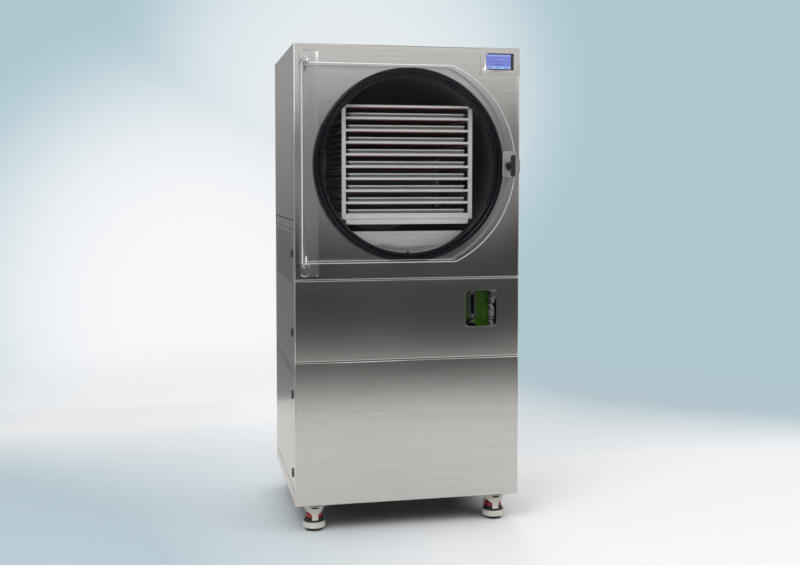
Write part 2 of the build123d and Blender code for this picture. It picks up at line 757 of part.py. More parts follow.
# Keeper: the cam turns in behind its lip.
keeper_inner = latch_x + cam_width / 2 + keeper_clear
keeper_wall = latch_x + cam_length + keeper_end_gap
keeper_outer = half_width - keeper_edge
with BuildPart() as latch_keeper:
    lip_front = cam_front - keeper_gap - keeper_lip
    with BuildSketch(Plane.XY.offset(latch_z - keeper_height / 2)):
        with BuildLine():
            Polyline(
                (keeper_inner, lip_front), (keeper_outer, lip_front), (keeper_outer, front_y),
                (keeper_wall, front_y), (keeper_wall, lip_front + keeper_lip),
                (keeper_inner, lip_front + keeper_lip), close=True)
        make_face()
    extrude(amount=keeper_height)

# ================================================================ front controls
with BuildPart() as screen_bezel:
    with BuildSketch(lying_on(front_y)):
        with Locations(((bezel_left + bezel_right) / 2, (bezel_bottom + top_z) / 2)):
            Rectangle(bezel_width, bezel_height)
        with Locations((screen_x, screen_z)):
            Rectangle(screen_width, screen_height, mode=Mode.SUBTRACT)
    extrude(amount=bezel_thickness)
    chamfer(faces().sort_by(Axis.Y)[0].edges(), 1)

with BuildPart() as touch_screen:
    with BuildSketch(lying_on(front_y - bezel_thickness + screen_recess)):
        with Locations((screen_x, screen_z)):
            Rectangle(screen_width - touch, screen_height - touch)
    extrude(amount=-(bezel_thickness - screen_recess + touch))
    with BuildSketch(lying_on(front_y + touch)):
        with Locations((screen_x, screen_z)):
            Rectangle(screen_width + 2 * sheet - touch, screen_height + 2 * sheet - touch)
    extrude(amount=-screen_depth)

# ================================================================ pump bay
pump_width = 84.0
pump_left = vacuum_port_x - pump_width / 2
pump_front = front_y + 70.0    # behind the window
pump_depth = 230.0
pump_base = deck_z + deck_sheet
pump_headroom = 5.0            # pump to the cradle rails over it
pump_corner = 12.0
pump_bevel = 5.0
pump_foot = 6.0                # thickness of the pump's foot
pump_foot_step = 10.0          # foot beyond the case, in at the sides
pump_height = chamber_deck_z - tube - pump_headroom - pump_base
inlet_neck = 30.0
rib_inset = 57.0               # rib on the pump's front, from its left side
rib_width = 3.0
rib_proud = 4.0
rib_margin = 30.0              # rib's ends to the pump's foot and top
rib_drop = 10.0
knob_inset = 28.0              # drain knob, from the pump's left side
knob_rise = 607.0              # above the cabinet's underside
knob_radius = 18.0
knob_length = 14.0
knob_taper = 8.0
sight_inset = 22.5             # sight plate, from the pump's left side
sight_bottom = 628.0           # above the cabinet's underside
sight_length = 112.0
sight_width = 31.0
sight_thickness = 5.0
sight_slot_length = 67.0
sight_slot_width = 15.5
sight_slot_rise = 54.0         # middle of the slot, above the plate's bottom
sight_screw_rise = 99.0
sight_screw_radius = 3.0
motor_left = pump_left + pump_width
motor_width = 52.0
motor_front = front_y + 32.0   # behind the window
motor_depth = 250.0
fin_pitch = 9.5
fin_thickness = 4.0
fin_reach = 9.0
motor_height = 200.0
motor_rise = 10.0              # motor's body above the deck
motor_corner = 10.0
motor_foot = 30.0              # height of the motor's foot
fin_margin = 10.0              # fins to the top and bottom of the motor
motor_x = motor_left + touch + motor_width / 2

# Pump: oil case with rounded corners, rib, drain knob and inlet neck.
with BuildPart() as vacuum_pump:
    with BuildSketch(Plane.XY.offset(pump_base)):
        with Locations((pump_left + pump_width / 2, pump_front + pump_depth / 2)):
            RectangleRounded(pump_width, pump_depth, pump_corner)
            Rectangle(pump_width - 2 * pump_foot_step, pump_depth + 2 * pump_foot_step)
    extrude(amount=pump_foot)
    with BuildSketch(Plane.XY.offset(pump_base)):
        with Locations((pump_left + pump_width / 2, pump_front + pump_depth / 2)):
            RectangleRounded(pump_width, pump_depth, pump_corner)
    extrude(amount=pump_height)
    chamfer(faces().sort_by(Axis.Z)[-1].edges(), pump_bevel)
    with BuildSketch(lying_on(pump_front)):
        with Locations((pump_left + rib_inset, pump_base + pump_height / 2 - rib_drop)):
            Rectangle(rib_width, pump_height - 2 * rib_margin)
    extrude(amount=rib_proud)
    with BuildSketch(Plane.XY.offset(pump_base + pump_height)):
        with Locations((vacuum_port_x, front_y + vacuum_port_back)):
            Circle(vacuum_port_radius)
    extrude(amount=inlet_neck)
    with BuildSketch(lying_on(pump_front)):
        with Locations((pump_left + knob_inset, base_z + knob_rise)):
            Circle(knob_radius)
    extrude(amount=knob_length, taper=knob_taper)

# Sight plate: its lower end is square, its slot shows the oil.
with BuildPart() as pump_sight_plate:
    sight_x = pump_left + sight_inset
    sight_low = base_z + sight_bottom
    with BuildSketch(lying_on(pump_front)):
        with Locations((sight_x, sight_low + sight_length / 2)):
            SlotOverall(sight_length, sight_width, rotation=90)
        with Locations((sight_x, sight_low)):
            Rectangle(sight_width, sight_width, align=(Align.CENTER, Align.MIN))
        with Locations((sight_x, sight_low + sight_slot_rise)):
            SlotOverall(sight_slot_length, sight_slot_width, rotation=90, mode=Mode.SUBTRACT)
        with Locations((sight_x, sight_low + sight_screw_rise)):
            Circle(sight_screw_radius, mode=Mode.SUBTRACT)
    extrude(amount=sight_thickness)

# Motor with cooling fins along it.
with BuildPart() as pump_motor:
    with BuildSketch(lying_on(motor_front)):
        with Locations((motor_x, pump_base + motor_height / 2 + motor_rise)):
            RectangleRounded(motor_width - 2 * fin_reach, motor_height, motor_corner)
        with Locations((motor_x, pump_base)):
            Rectangle(motor_width - 2 * fin_reach, motor_foot, align=(Align.CENTER, Align.MIN))
        fin_count = int((motor_height - 2 * fin_margin) / fin_pitch)
        with Locations((motor_x, pump_base + motor_height / 2 + motor_rise)):
            with GridLocations(1, fin_pitch, 1, fin_count):
                Rectangle(motor_width, fin_thickness)
    extrude(amount=-motor_depth)

# Rubber hose from the vessel's port down to the pump, with a clamp at each end.
hose_wall = 4.0
hose_overlap = 22.0
clamp_width = 12.0
clamp_step = 2.5
clamp_edge = 5.0               # clamp to the hose's end
clamp_lug = 12.0
with BuildPart() as vacuum_hose:
    hose_low = pump_base + pump_height + inlet_neck - hose_overlap
    hose_high = port_end(vacuum_port_x) + hose_overlap
    hose_at = (vacuum_port_x, front_y + vacuum_port_back)
    with BuildSketch(Plane.XY.offset(hose_low)):
        with Locations(hose_at):
            Circle(vacuum_port_radius + touch + hose_wall)
    extrude(amount=hose_high - hose_low)
    for z in (hose_low + clamp_edge, hose_high - clamp_edge - clamp_width):
        with BuildSketch(Plane.XY.offset(z)):
            with Locations(hose_at):
                RegularPolygon(vacuum_port_radius + hose_wall + clamp_step, 24)
            with Locations((hose_at[0] + vacuum_port_radius + 8, hose_at[1])):
                Rectangle(clamp_lug, clamp_lug - 2)
        extrude(amount=clamp_width)
    with BuildSketch(Plane.XY.offset(hose_low)):
        with Locations(hose_at):
            Circle(vacuum_port_radius + touch)
    extrude(amount=hose_high - hose_low, mode=Mode.SUBTRACT)

# ================================================================ cooling bay
compressor_x = -170.0
compressor_y = front_y + 260.0
compressor_radius = 88.0
compressor_height = 235.0
compressor_foot = 12.0         # height of the rubber feet
compressor_foot_width = 210.0
compressor_foot_depth = 150.0
compressor_lid_radius = 68.0
compressor_lid = 34.0          # height of the stepped lid
compressor_base = 5.0          # thickness of the base plate, 1 mm up into the can
compressor_foot_inset = 15.0
terminal_width = 60.0          # terminal box on the can's right side
terminal_height = 70.0
terminal_rise = 120.0
terminal_reach = 18.0
pan_floor = base_z + base_sheet
with BuildPart() as compressor:
    with BuildSketch(Plane.XY.offset(pan_floor + compressor_foot)):
        with Locations((compressor_x, compressor_y)):
            Circle(compressor_radius)
    extrude(amount=compressor_height - compressor_lid)
    with BuildSketch(Plane.XY.offset(pan_floor + compressor_foot + compressor_height - compressor_lid)):
        with Locations((compressor_x, compressor_y)):
            Circle(compressor_lid_radius)
    extrude(amount=compressor_lid)
    with BuildSketch(Plane.XY.offset(pan_floor + compressor_foot - 4)):
        with Locations((compressor_x, compressor_y)):
            Rectangle(compressor_foot_width, compressor_foot_depth)
    extrude(amount=compressor_base)
    with BuildSketch(Plane.XY.offset(pan_floor)):
        with Locations((compressor_x, compressor_y)):
            with GridLocations(compressor_foot_width - 2 * compressor_foot_inset,
                               compressor_foot_depth - 2 * compressor_foot_inset, 2, 2):
                RegularPolygon(10, 8)
    extrude(amount=compressor_foot - 4)
    with BuildSketch(Plane.YZ.offset(compressor_x + compressor_radius - 4)):
        with Locations((compressor_y, pan_floor + terminal_rise)):
            Rectangle(terminal_width, terminal_height)
    extrude(amount=4 + terminal_reach)

core_width = 300.0
core_height = 300.0
core_depth = 48.0
core_gap = tube + 2.0          # rear folds to the condenser
core_rear = rear_y - side_fold - core_gap
core_front = core_rear - core_depth
shroud_depth = 34.0
shroud_sheet = 4.0
fan_radius = 112.0
fan_gap = 5.0
fan_z = vent_z
fan_y = core_front - shroud_depth / 2
core_fin = 3.0
core_fin_pitch = 20.0
core_fin_depth = 6.0
core_edge = 12.0               # plain edge above and below the fins
with BuildPart() as condenser:
    with BuildSketch(lying_on(core_front)):
        with Locations((vent_x, vent_z)):
            Rectangle(core_width, core_height)
    extrude(amount=-core_depth)
    with BuildSketch(lying_on(core_rear)):
        with Locations((vent_x, vent_z)):
            with GridLocations(core_fin_pitch, 1, int(core_width / core_fin_pitch) - 1, 1):
                Rectangle(core_fin_pitch - core_fin, core_height - 2 * core_edge)
    extrude(amount=core_fin_depth, mode=Mode.SUBTRACT)
    with BuildSketch(lying_on(core_front - shroud_depth)):
        with Locations((vent_x, vent_z)):
            Rectangle(core_width, core_height)
            Circle(fan_radius + fan_gap, mode=Mode.SUBTRACT)
    extrude(amount=-shroud_sheet)
    with BuildSketch(lying_on(core_front - shroud_depth)):
        with Locations((vent_x, vent_z)):
            Rectangle(core_width, core_height)
            Rectangle(core_width - 2 * shroud_sheet, core_height - 2 * shroud_sheet,
                      mode=Mode.SUBTRACT)
    extrude(amount=-shroud_depth)
    foot_height = vent_z - core_height / 2 - pan_floor
    with BuildSketch(Plane.XY.offset(pan_floor)):
        with Locations((vent_x, (core_front + core_rear) / 2)):
            with GridLocations(core_width - 60, 1, 2, 1):
                Rectangle(40, core_depth - 10)
    extrude(amount=foot_height)

blade_count = 5
blade_pitch = 28.0
hub_radius = 30.0
hub_depth = 22.0
fan_shaft = 5.0
blade_root = 8.0               # blade's root inside the hub
blade_tip_gap = 4.0            # tip to the fan's nominal radius
blade_root_half = 12.0
blade_tip_half = 26.0
blade_thickness = 2.4
with BuildPart() as fan:
    with BuildSketch(lying_on(fan_y - hub_depth / 2)):
        with Locations((vent_x, fan_z)):
            Circle(hub_radius)
    extrude(amount=-hub_depth)
    root = hub_radius - blade_root
    tip = fan_radius - blade_tip_gap
    for i in range(blade_count):
        turn = radians(i * 360.0 / blade_count)
        radial = Vector(cos(turn), 0, sin(turn))
        across = Vector(-sin(turn), 0, cos(turn)).rotate(
            Axis((0, 0, 0), radial), blade_pitch)
        blade = Plane(origin=(vent_x, fan_y, fan_z), x_dir=radial, z_dir=radial.cross(across))
        with BuildSketch(blade):
            with BuildLine():
                Polyline((root, -blade_root_half), (tip - 10, -blade_tip_half))
                ThreePointArc((tip - 10, -blade_tip_half), (tip, 0), (tip - 10, blade_tip_half))
                Polyline((tip - 10, blade_tip_half), (root, blade_root_half), (root, -blade_root_half))
            make_face()
        extrude(amount=blade_thickness / 2, both=True)
    with BuildSketch(lying_on(fan_y - hub_depth / 2)):
        with Locations((vent_x, fan_z)):
            Circle(fan_shaft + touch)
    extrude(amount=-hub_depth + 4, mode=Mode.SUBTRACT)

# Fan motor on a three-armed spider, bolted to the shroud.
motor_radius = 40.0
motor_length = 60.0
spider_arm = 12.0
with BuildPart() as fan_motor:
    spider_y = core_front - shroud_depth
    with BuildSketch(lying_on(spider_y)):
        with Locations((vent_x, fan_z)):
            Circle(motor_radius)
    extrude(amount=motor_length)
    with BuildSketch(lying_on(spider_y)):
        with Locations((vent_x, fan_z)):
            with PolarLocations(0, 3, start_angle=90):
                Rectangle(fan_radius + 22, spider_arm, align=(Align.MIN, Align.CENTER))
    extrude(amount=3)
    with BuildSketch(lying_on(spider_y)):
        with Locations((vent_x, fan_z)):
            Circle(fan_shaft)
    extrude(amount=-(fan_y - spider_y + hub_depth / 2 - 5))

# ================================================================ rear fittings
# Drain: pipe from the vessel, ball valve body and hose spout, brazed together.
drain_y = front_y + drain_port_back
valve_front = rear_y + 2.0     # clear of the rear panel
stem_y = valve_front + valve_body_length / 2
stem_rise = 9.0
stem_top = valve_z + valve_body_radius + stem_rise
valve_stem = 6.0
with BuildPart() as drain_valve:
    with BuildSketch(Plane.XY.offset(valve_z)):
        with Locations((0, drain_y)):
            Circle(pipe_radius)
    extrude(amount=port_end(0) - valve_z)
    with BuildSketch(Plane.XY.offset(valve_z)):
        with Locations((0, drain_y)):
            Rectangle(elbow, elbow)
    extrude(amount=elbow / 2, both=True)
    with BuildSketch(lying_on(drain_y + elbow / 2)):
        with Locations((0, valve_z)):
            Circle(pipe_radius)
    extrude(amount=-(valve_front - drain_y - elbow / 2))
    with BuildSketch(lying_on(valve_front)):
        with Locations((0, valve_z)):
            RegularPolygon(valve_body_radius, 6)
    extrude(amount=-valve_body_length)
    with BuildSketch(lying_on(valve_front + valve_body_length)):
        with Locations((0, valve_z)):
            Circle(spout_radius)
    extrude(amount=-(rear_y + valve_reach - valve_front - valve_body_length))
    with BuildSketch(Plane.XY.offset(valve_z)):
        with Locations((0, stem_y)):
            RegularPolygon(valve_stem, 8)
    extrude(amount=stem_top - valve_z)

with BuildPart() as drain_lever:
    with BuildSketch(Plane.XY.offset(stem_top + touch)):
        with Locations((0, stem_y)):
            Circle(9)
        with Locations((0, stem_y)):
            Rectangle(lever_length, lever_width, align=(Align.MIN, Align.CENTER))
    extrude(amount=lever_thickness)
    fillet(edges().filter_by(Axis.Z).group_by(Axis.X)[-1], lever_width / 2 - 0.5)

# Mains inlet and rocker switch in one moulding.
flange = 2.0
inlet_body_depth = 26.0
pin_width = 4.0
with BuildPart() as power_inlet:
    with BuildSketch(Plane.XZ.offset(-rear_y)):
        with Locations(((inlet_x + switch_x) / 2, inlet_z)):
            RectangleRounded(inlet_width + switch_width + 32, inlet_height + 16, 4)
    extrude(amount=-flange)
    with BuildSketch(Plane.XZ.offset(-rear_y)):
        with Locations((inlet_x, inlet_z)):
            Rectangle(inlet_width - 7, inlet_height - 7)
        with Locations((switch_x, inlet_z)):
            Rectangle(switch_width - 5, switch_height - 5)
    extrude(amount=inlet_body_depth)
    with BuildSketch(Plane.XZ.offset(-rear_y - flange)):
        with Locations((inlet_x, inlet_z)):
            Rectangle(inlet_width - 14, inlet_height - 12)
    extrude(amount=18, mode=Mode.SUBTRACT)
    with BuildSketch(Plane.XZ.offset(-rear_y + 16)):
        with Locations((inlet_x - 9, inlet_z), (inlet_x + 9, inlet_z), (inlet_x, inlet_z + 4)):
            Rectangle(pin_width / 2, pin_width)
    extrude(amount=-14)
    with BuildSketch(Plane.XZ.offset(-rear_y - flange)):
        with Locations((switch_x, inlet_z)):
            Rectangle(switch_width - 9, switch_height - 9)
    extrude(amount=18, mode=Mode.SUBTRACT)

rocker_half = (switch_height - 9) / 2 - 2
rocker_tilt = 8.0
with BuildPart() as power_switch:
    with BuildSketch(Plane.YZ.offset(switch_x)):
        with BuildLine():
            rise = rocker_half * sin(radians(rocker_tilt))
            Polyline(
                (rear_y + flange + 0.5, inlet_z - rocker_half),
                (rear_y + flange + 0.5, inlet_z),
                (rear_y + flange + 0.5 + 2 * rise, inlet_z + rocker_half),
                (rear_y - 1, inlet_z + rocker_half - 2),
                (rear_y - 6, inlet_z + 2), (rear_y - 6, inlet_z - 2),
                (rear_y - 1, inlet_z - rocker_half + 1), close=True)
        make_face()
    extrude(amount=(switch_width - 10) / 2, both=True)

# ================================================================ casters
caster_x = half_width - caster_side_inset
caster_front = front_y + caster_end_inset
caster_rear = rear_y - caster_end_inset
plate_under = base_z - caster_plate_thickness
race_under = plate_under - race_height
housing_top = race_under - touch
crown = 9.5                    # thickness of the housing's top
crown_low = housing_top - crown
kingpin_head = 3.5
kingpin_bottom = housing_top - crown - touch - kingpin_head

# Top plates, each with the race and headed kingpin that its housing turns on.
with BuildPart() as caster_plates:
    for x in (-caster_x, caster_x):
        for y in (caster_front, caster_rear):
            with BuildSketch(Plane.XY.offset(plate_under)):
                with Locations((x, y)):
                    Rectangle(caster_plate, caster_plate)
                    chamfer(vertices(), 8)
            extrude(amount=caster_plate_thickness)
            with BuildSketch(Plane.XZ.offset(-y)):
                with BuildLine():
                    Polyline(
                        (x, plate_under), (x + race_radius, plate_under),
                        (x + race_radius, race_under), (x + kingpin_radius, race_under),
                        (x + kingpin_radius, kingpin_bottom + kingpin_head),
                        (x + kingpin_radius + 4, kingpin_bottom + kingpin_head),
                        (x + kingpin_radius + 4, kingpin_bottom),
                        (x, kingpin_bottom), close=True)
                make_face()
            revolve(axis=Axis((x, y, 0), (0, 0, 1)))

cavity = dial_radius + 2 * touch
foot_radius = cavity - foot_gap
housing_radius = cavity + skirt_wall
housing_neck_radius = cavity + neck_wall
crown_radius = housing_neck_radius + crown_flare
wheel_trail = foot_radius + wheel_radius + wheel_gap
fork_gap = wheel_width / 2 + 1.5
fork_arm = 5.0
window_shoulder = 30.0         # sloped top of the windows, out to here
window_slope = 13.0            # and up by this much
window_reach = 60.0            # cut past the housing
fork_top = windows_top + 12
fork_low = skirt_bottom + 6
fork_nose = 9.0                # fork beyond the axle
fork_over_axle = 14.0
axle_radius = 4.0
axle_z = wheel_radius + wheel_lift
screw_top = dial_bottom + dial_height + 3


def caster_parts(x, y):
    """Housing, dial, foot and wheel of the caster at x, y."""
    spin = Axis((x, y, 0), (0, 0, 1))
    wheel_y = y + wheel_trail
    with BuildPart() as housing:
        with BuildSketch(Plane.XZ.offset(-y)) as wall:
            with BuildLine():
                Polyline(
                    (x + cavity, skirt_bottom), (x + housing_radius, skirt_bottom),
                    (x + housing_radius, skirt_top), (x + housing_neck_radius, skirt_top),
                    (x + housing_neck_radius, crown_low), (x + crown_radius, crown_low),
                    (x + crown_radius, housing_top),
                    (x + kingpin_radius + touch, housing_top),
                    (x + kingpin_radius + touch, housing_top - crown),
                    (x + cavity, housing_top - crown), close=True)
            make_face()
        revolve(wall.sketch, axis=spin)
        with BuildSketch(Plane.XZ.offset(-y)) as windows:
            for side in (-1, 1):
                with BuildLine():
                    Polyline(
                        (x + side * cheek_width / 2, skirt_top),
                        (x + side * window_reach, skirt_top),
                        (x + side * window_reach, windows_top + window_slope),
                        (x + side * window_shoulder, windows_top + window_slope),
                        (x + side * cheek_width / 2, windows_top), close=True)
                make_face()
        extrude(windows.sketch, amount=window_reach, both=True, mode=Mode.SUBTRACT)
        with BuildSketch(Plane.YZ.offset(x)) as fork:
            with BuildLine():
                Polyline(
                    (y + cavity, fork_top), (y + cavity, fork_low),
                    (wheel_y, axle_z - fork_nose), (wheel_y + fork_nose, axle_z),
                    (wheel_y, axle_z + fork_over_axle),
                    (y + housing_neck_radius, fork_top), close=True)
            make_face()
        extrude(fork.sketch, amount=fork_gap + fork_arm, both=True)
        with BuildSketch(Plane.YZ.offset(x)) as wheel_space:
            with Locations((wheel_y, axle_z)):
                Circle(wheel_radius + 2)
            with Locations((wheel_y, axle_z)):
                Rectangle(2 * wheel_radius + 4, axle_z + 5, align=(Align.CENTER, Align.MAX))
        extrude(wheel_space.sketch, amount=fork_gap, both=True, mode=Mode.SUBTRACT)
        with BuildSketch(Plane.YZ.offset(x)) as axle:
            with Locations((wheel_y, axle_z)):
                Circle(axle_radius)
        extrude(axle.sketch, amount=fork_gap + fork_arm, both=True)
    with BuildPart() as dial:
        with BuildSketch(Plane.XY.offset(dial_bottom)) as disc:
            with Locations((x, y)):
                RegularPolygon(dial_radius, 2 * dial_teeth)
                with PolarLocations(dial_radius, dial_teeth):
                    Rectangle(dial_notch, dial_notch, mode=Mode.SUBTRACT)
                Circle(foot_screw_radius + touch, mode=Mode.SUBTRACT)
        extrude(disc.sketch, amount=dial_height)
    with BuildPart() as foot:
        with BuildSketch(Plane.XZ.offset(-y)) as pad:
            with BuildLine():
                Polyline(
                    (x, 0), (x + foot_radius, 0), (x + foot_radius, foot_thickness),
                    (x + foot_screw_radius, foot_thickness),
                    (x + foot_screw_radius, screw_top), (x, screw_top), close=True)
            make_face()
        revolve(pad.sketch, axis=spin)
    with BuildPart() as wheel:
        with BuildSketch(Plane.YZ.offset(x)) as tread:
            with Locations((wheel_y, axle_z)):
                Circle(wheel_radius)
                Circle(axle_radius + touch, mode=Mode.SUBTRACT)
        extrude(tread.sketch, amount=wheel_width / 2, both=True)
    return {"housing": housing, "dial": dial, "foot": foot, "wheel": wheel}


corners = {
    "front_left": (-caster_x, caster_front),
    "front_right": (caster_x, caster_front),
    "rear_left": (-caster_x, caster_rear),
    "rear_right": (caster_x, caster_rear),
}

# ================================================================ writing out
pieces = {
    "cabinet_frame": cabinet_frame, "base_pan": base_pan, "pump_deck": pump_deck,
    "upper_shell": upper_shell, "rear_panel": rear_panel,
    "front_upper_panel": front_upper_panel, "front_middle_panel": front_middle_panel,
    "front_lower_panel": front_lower_panel,
    "left_middle_panel": left_middle_panel, "left_lower_panel": left_lower_panel,
    "right_middle_panel": right_middle_panel, "right_lower_panel": right_lower_panel,
    "panel_fasteners": panel_fasteners,
    "chamber_shell": chamber_shell, "chamber_insulation": chamber_insulation,
    "chamber_gasket": chamber_gasket, "lower_apron": lower_apron,
    "rack_frame": rack_frame, "shelves": shelves, "heater_pads": heater_pads, "trays": trays,
    "door_panel": door_panel, "hinge_plate": hinge_plate, "hinge_brackets": hinge_brackets,
    "hinge_pins": hinge_pins, "latch_block": latch_block, "latch_handle": latch_handle,
    "latch_keeper": latch_keeper, "screen_bezel": screen_bezel, "touch_screen": touch_screen,
    "vacuum_pump": vacuum_pump, "pump_sight_plate": pump_sight_plate, "pump_motor": pump_motor,
    "vacuum_hose": vacuum_hose, "compressor": compressor, "condenser": condenser,
    "fan": fan, "fan_motor": fan_motor, "drain_valve": drain_valve, "drain_lever": drain_lever,
    "power_inlet": power_inlet, "power_switch": power_switch, "caster_plates": caster_plates,
}
for corner, (x, y) in corners.items():
    for role, piece in caster_parts(x, y).items():
        pieces[f"caster_{role}_{corner}"] = piece

os.makedirs("parts", exist_ok=True)
for name, piece in pieces.items():
    piece.part.label = name
    export_step(piece.part, f"parts/{name}.step")
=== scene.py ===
"""Finishes, small fittings and studio for an upright laboratory freeze dryer.

The construction model is loaded first and stays where it is.  Every size here
is in metres, in the same frame: X along the width, +Y to the back, +Z up.
"""
import math

import bmesh
import bpy
from bpy.props import FloatProperty, FloatVectorProperty, IntProperty, PointerProperty
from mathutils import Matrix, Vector


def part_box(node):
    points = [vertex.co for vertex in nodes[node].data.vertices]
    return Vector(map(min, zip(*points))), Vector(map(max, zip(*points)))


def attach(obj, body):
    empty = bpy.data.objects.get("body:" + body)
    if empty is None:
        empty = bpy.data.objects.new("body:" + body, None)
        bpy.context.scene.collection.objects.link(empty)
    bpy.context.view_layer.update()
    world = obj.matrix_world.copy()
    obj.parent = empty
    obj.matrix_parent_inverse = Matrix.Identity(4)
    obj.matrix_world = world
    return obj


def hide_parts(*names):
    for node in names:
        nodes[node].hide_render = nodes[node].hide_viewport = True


bl_info = {
    "name": "Freeze dryer finish",
    "version": (1, 0, 0),
    "blender": (4, 5, 0),
    "location": "3D View > Sidebar > Freeze dryer",
    "description": "Finishes, small fittings and studio for a laboratory freeze dryer",
    "category": "Object",
}

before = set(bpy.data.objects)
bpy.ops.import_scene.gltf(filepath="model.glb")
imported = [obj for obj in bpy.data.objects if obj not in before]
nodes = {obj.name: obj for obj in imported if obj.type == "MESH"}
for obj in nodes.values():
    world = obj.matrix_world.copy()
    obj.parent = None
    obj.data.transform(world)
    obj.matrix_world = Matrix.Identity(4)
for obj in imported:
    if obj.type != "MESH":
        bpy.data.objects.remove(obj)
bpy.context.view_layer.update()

MM = 0.001
SHARP_ANGLE = 32.0  # degrees; edges that turn more stay hard
VIEW_TURN = 11.896  # degrees; the camera's turn to the right
EVEN = (1, 1, 1)  # noise that isn't drawn out along an axis

# Heights in millimetres of the front sheets' edges and window: the construction model's, then
# the finished ones.
FRONT_HEIGHTS = [(100.0, 100.0), (596.2, 602.8), (597.8, 604.4), (704.0, 714.4), (836.0, 843.3),
                 (878.2, 887.2), (879.8, 888.8), (930.0, 930.0)]
CORNERS = ("front_left", "front_right", "rear_left", "rear_right")
SHELF_COUNT = 10


# ------------------------------------------------------------------ settings
def colour_setting(name, description, default):
    """A colour that a user would change."""
    return FloatVectorProperty(name=name, description=description, default=default,
                               subtype="COLOR", size=3, min=0.0, max=1.0)


def length_setting(name, description, default):
    """A length in metres that a user would change."""
    return FloatProperty(name=name, description=description, default=default,
                         min=0.0, unit="LENGTH", precision=4)


def share_setting(name, description, default):
    """A number from 0 to 1."""
    return FloatProperty(name=name, description=description, default=default,
                         min=0.0, max=1.0, subtype="FACTOR")


class SteelSettings(bpy.types.PropertyGroup):
    """Sheet metal of the cabinet."""

    tone: colour_setting("Sheet", "Colour of the stainless sheet", (0.60, 0.588, 0.57))
    # Painted shade: the base sheet's downward faces take this near-black colour in place of steel,
    # which darkens the space under the cabinet.
    painted_under_shade: colour_setting("Underside", "Painted shade under the base", (0.04, 0.04, 0.04))
    roughness: share_setting("Roughness", "Roughness of the brushed grain", 0.18)
    waviness: length_setting("Waviness", "Depth of the sheet's slow waves", 0.00012)
    fold: length_setting("Fold", "Radius of the folded edges", 0.0018)


class VentSettings(bpy.types.PropertyGroup):
    """Perforated field in each middle side panel."""

    hole: length_setting("Hole", "Width of a hole across its corners", 0.0058)
    column_pitch: length_setting("Column pitch", "Between holes along a row", 0.0096)
    row_pitch: length_setting("Row pitch", "Between rows", 0.0076)
    columns: IntProperty(name="Columns", description="Holes along a row", default=56, min=1)
    rows: IntProperty(name="Rows", description="Rows of holes", default=23, min=1)
    top_margin: length_setting("Top margin", "Panel's top to the first row", 0.014)


class ChamberSettings(bpy.types.PropertyGroup):
    """Vessel, gasket and rack."""

    wall: colour_setting("Wall", "Polished vessel wall", (0.36, 0.34, 0.33))
    rubber: colour_setting("Gasket", "Gasket rubber", (0.003, 0.005, 0.010))
    foam: colour_setting("Foam", "Foam jacket", (0.72, 0.62, 0.38))
    shelf: colour_setting("Shelves", "Satin aluminium", (0.93, 0.92, 0.90))
    heater: colour_setting("Heaters", "Silicone heater mats", (0.34, 0.085, 0.055))
    tray: colour_setting("Trays", "Pressed stainless trays", (0.30, 0.29, 0.275))
    top_shelf: length_setting("Top shelf", "Height of the top shelf's face", 1.495)
    shelf_pitch: length_setting("Shelf pitch", "From one shelf to the next", 0.042)
    shelf_thickness: length_setting("Shelf thickness", "Thickness of a shelf", 0.008)
    tray_height: length_setting("Tray height", "Height of a tray", 0.0145)


class DoorSettings(bpy.types.PropertyGroup):
    """Clear door and its latch."""

    clear: colour_setting("Clear sheet", "Tint of the clear sheet", (0.955, 0.965, 0.97))
    # Painted highlight: near-white colour of the clear sheet's edges, bevels and line, for the light
    # they catch.
    edge: colour_setting("Edge", "Painted highlight on the clear sheet's edges", (0.93, 0.94, 0.95))
    left: FloatProperty(name="Left edge", description="Across", default=-0.381, unit="LENGTH")
    bottom: length_setting("Bottom", "Height of the door's bottom edge", 0.94875)
    top: length_setting("Top", "Height of the door's top edge", 1.63125)
    arc_centre: length_setting("Arc centre", "Height of the round side's centre", 1.287)
    arc_radius: length_setting("Arc radius", "Radius of the round side", 0.374)
    # Painted highlight: how much of what is behind the edges' near-white colour hides.
    edge_highlight_cover: share_setting("Edge cover", "How much the edges' painted highlight hides", 0.55)
    gloss: share_setting("Gloss", "Share of the mirror reflection that shows", 0.22)
    handle: colour_setting("Handle", "Moulded black", (0.014, 0.014, 0.015))


class ScreenSettings(bpy.types.PropertyGroup):
    """Lit display."""

    field: colour_setting("Field", "Main colour of the display", (0.17, 0.21, 0.62))
    bar: colour_setting("Bars", "Bars at the top and bottom", (0.32, 0.52, 0.78))
    line: colour_setting("Lines", "Plain rows in the middle", (0.10, 0.10, 0.42))
    header: colour_setting("Header", "Lighter row at the top", (0.30, 0.38, 0.80))
    left: length_setting("Left", "Display's left edge, from the middle", 0.277)
    bottom: length_setting("Bottom", "Height of the display's bottom edge", 1.6245)
    width: length_setting("Width", "Display's width", 0.096)
    height: length_setting("Height", "Display's height", 0.054)
    glow: FloatProperty(name="Glow", description="Light from the display", default=0.8, min=0.0)


class PumpSettings(bpy.types.PropertyGroup):
    """Vacuum pump behind the window."""

    paint: colour_setting("Paint", "Green enamel", (0.062, 0.21, 0.003))
    plate: colour_setting("Sight plate", "Grey plate round the oil sight", (0.10, 0.10, 0.115))
    fins: colour_setting("Fins", "Machined motor fins", (0.93, 0.93, 0.93))


class CasterSettings(bpy.types.PropertyGroup):
    """Levelling casters."""

    ivory: colour_setting("Housing", "Ivory enamel", (0.70, 0.68, 0.62))
    dial: colour_setting("Dial", "Red adjusting dial", (0.48, 0.012, 0.018))
    pad: colour_setting("Pad", "Black foot pad", (0.012, 0.012, 0.013))


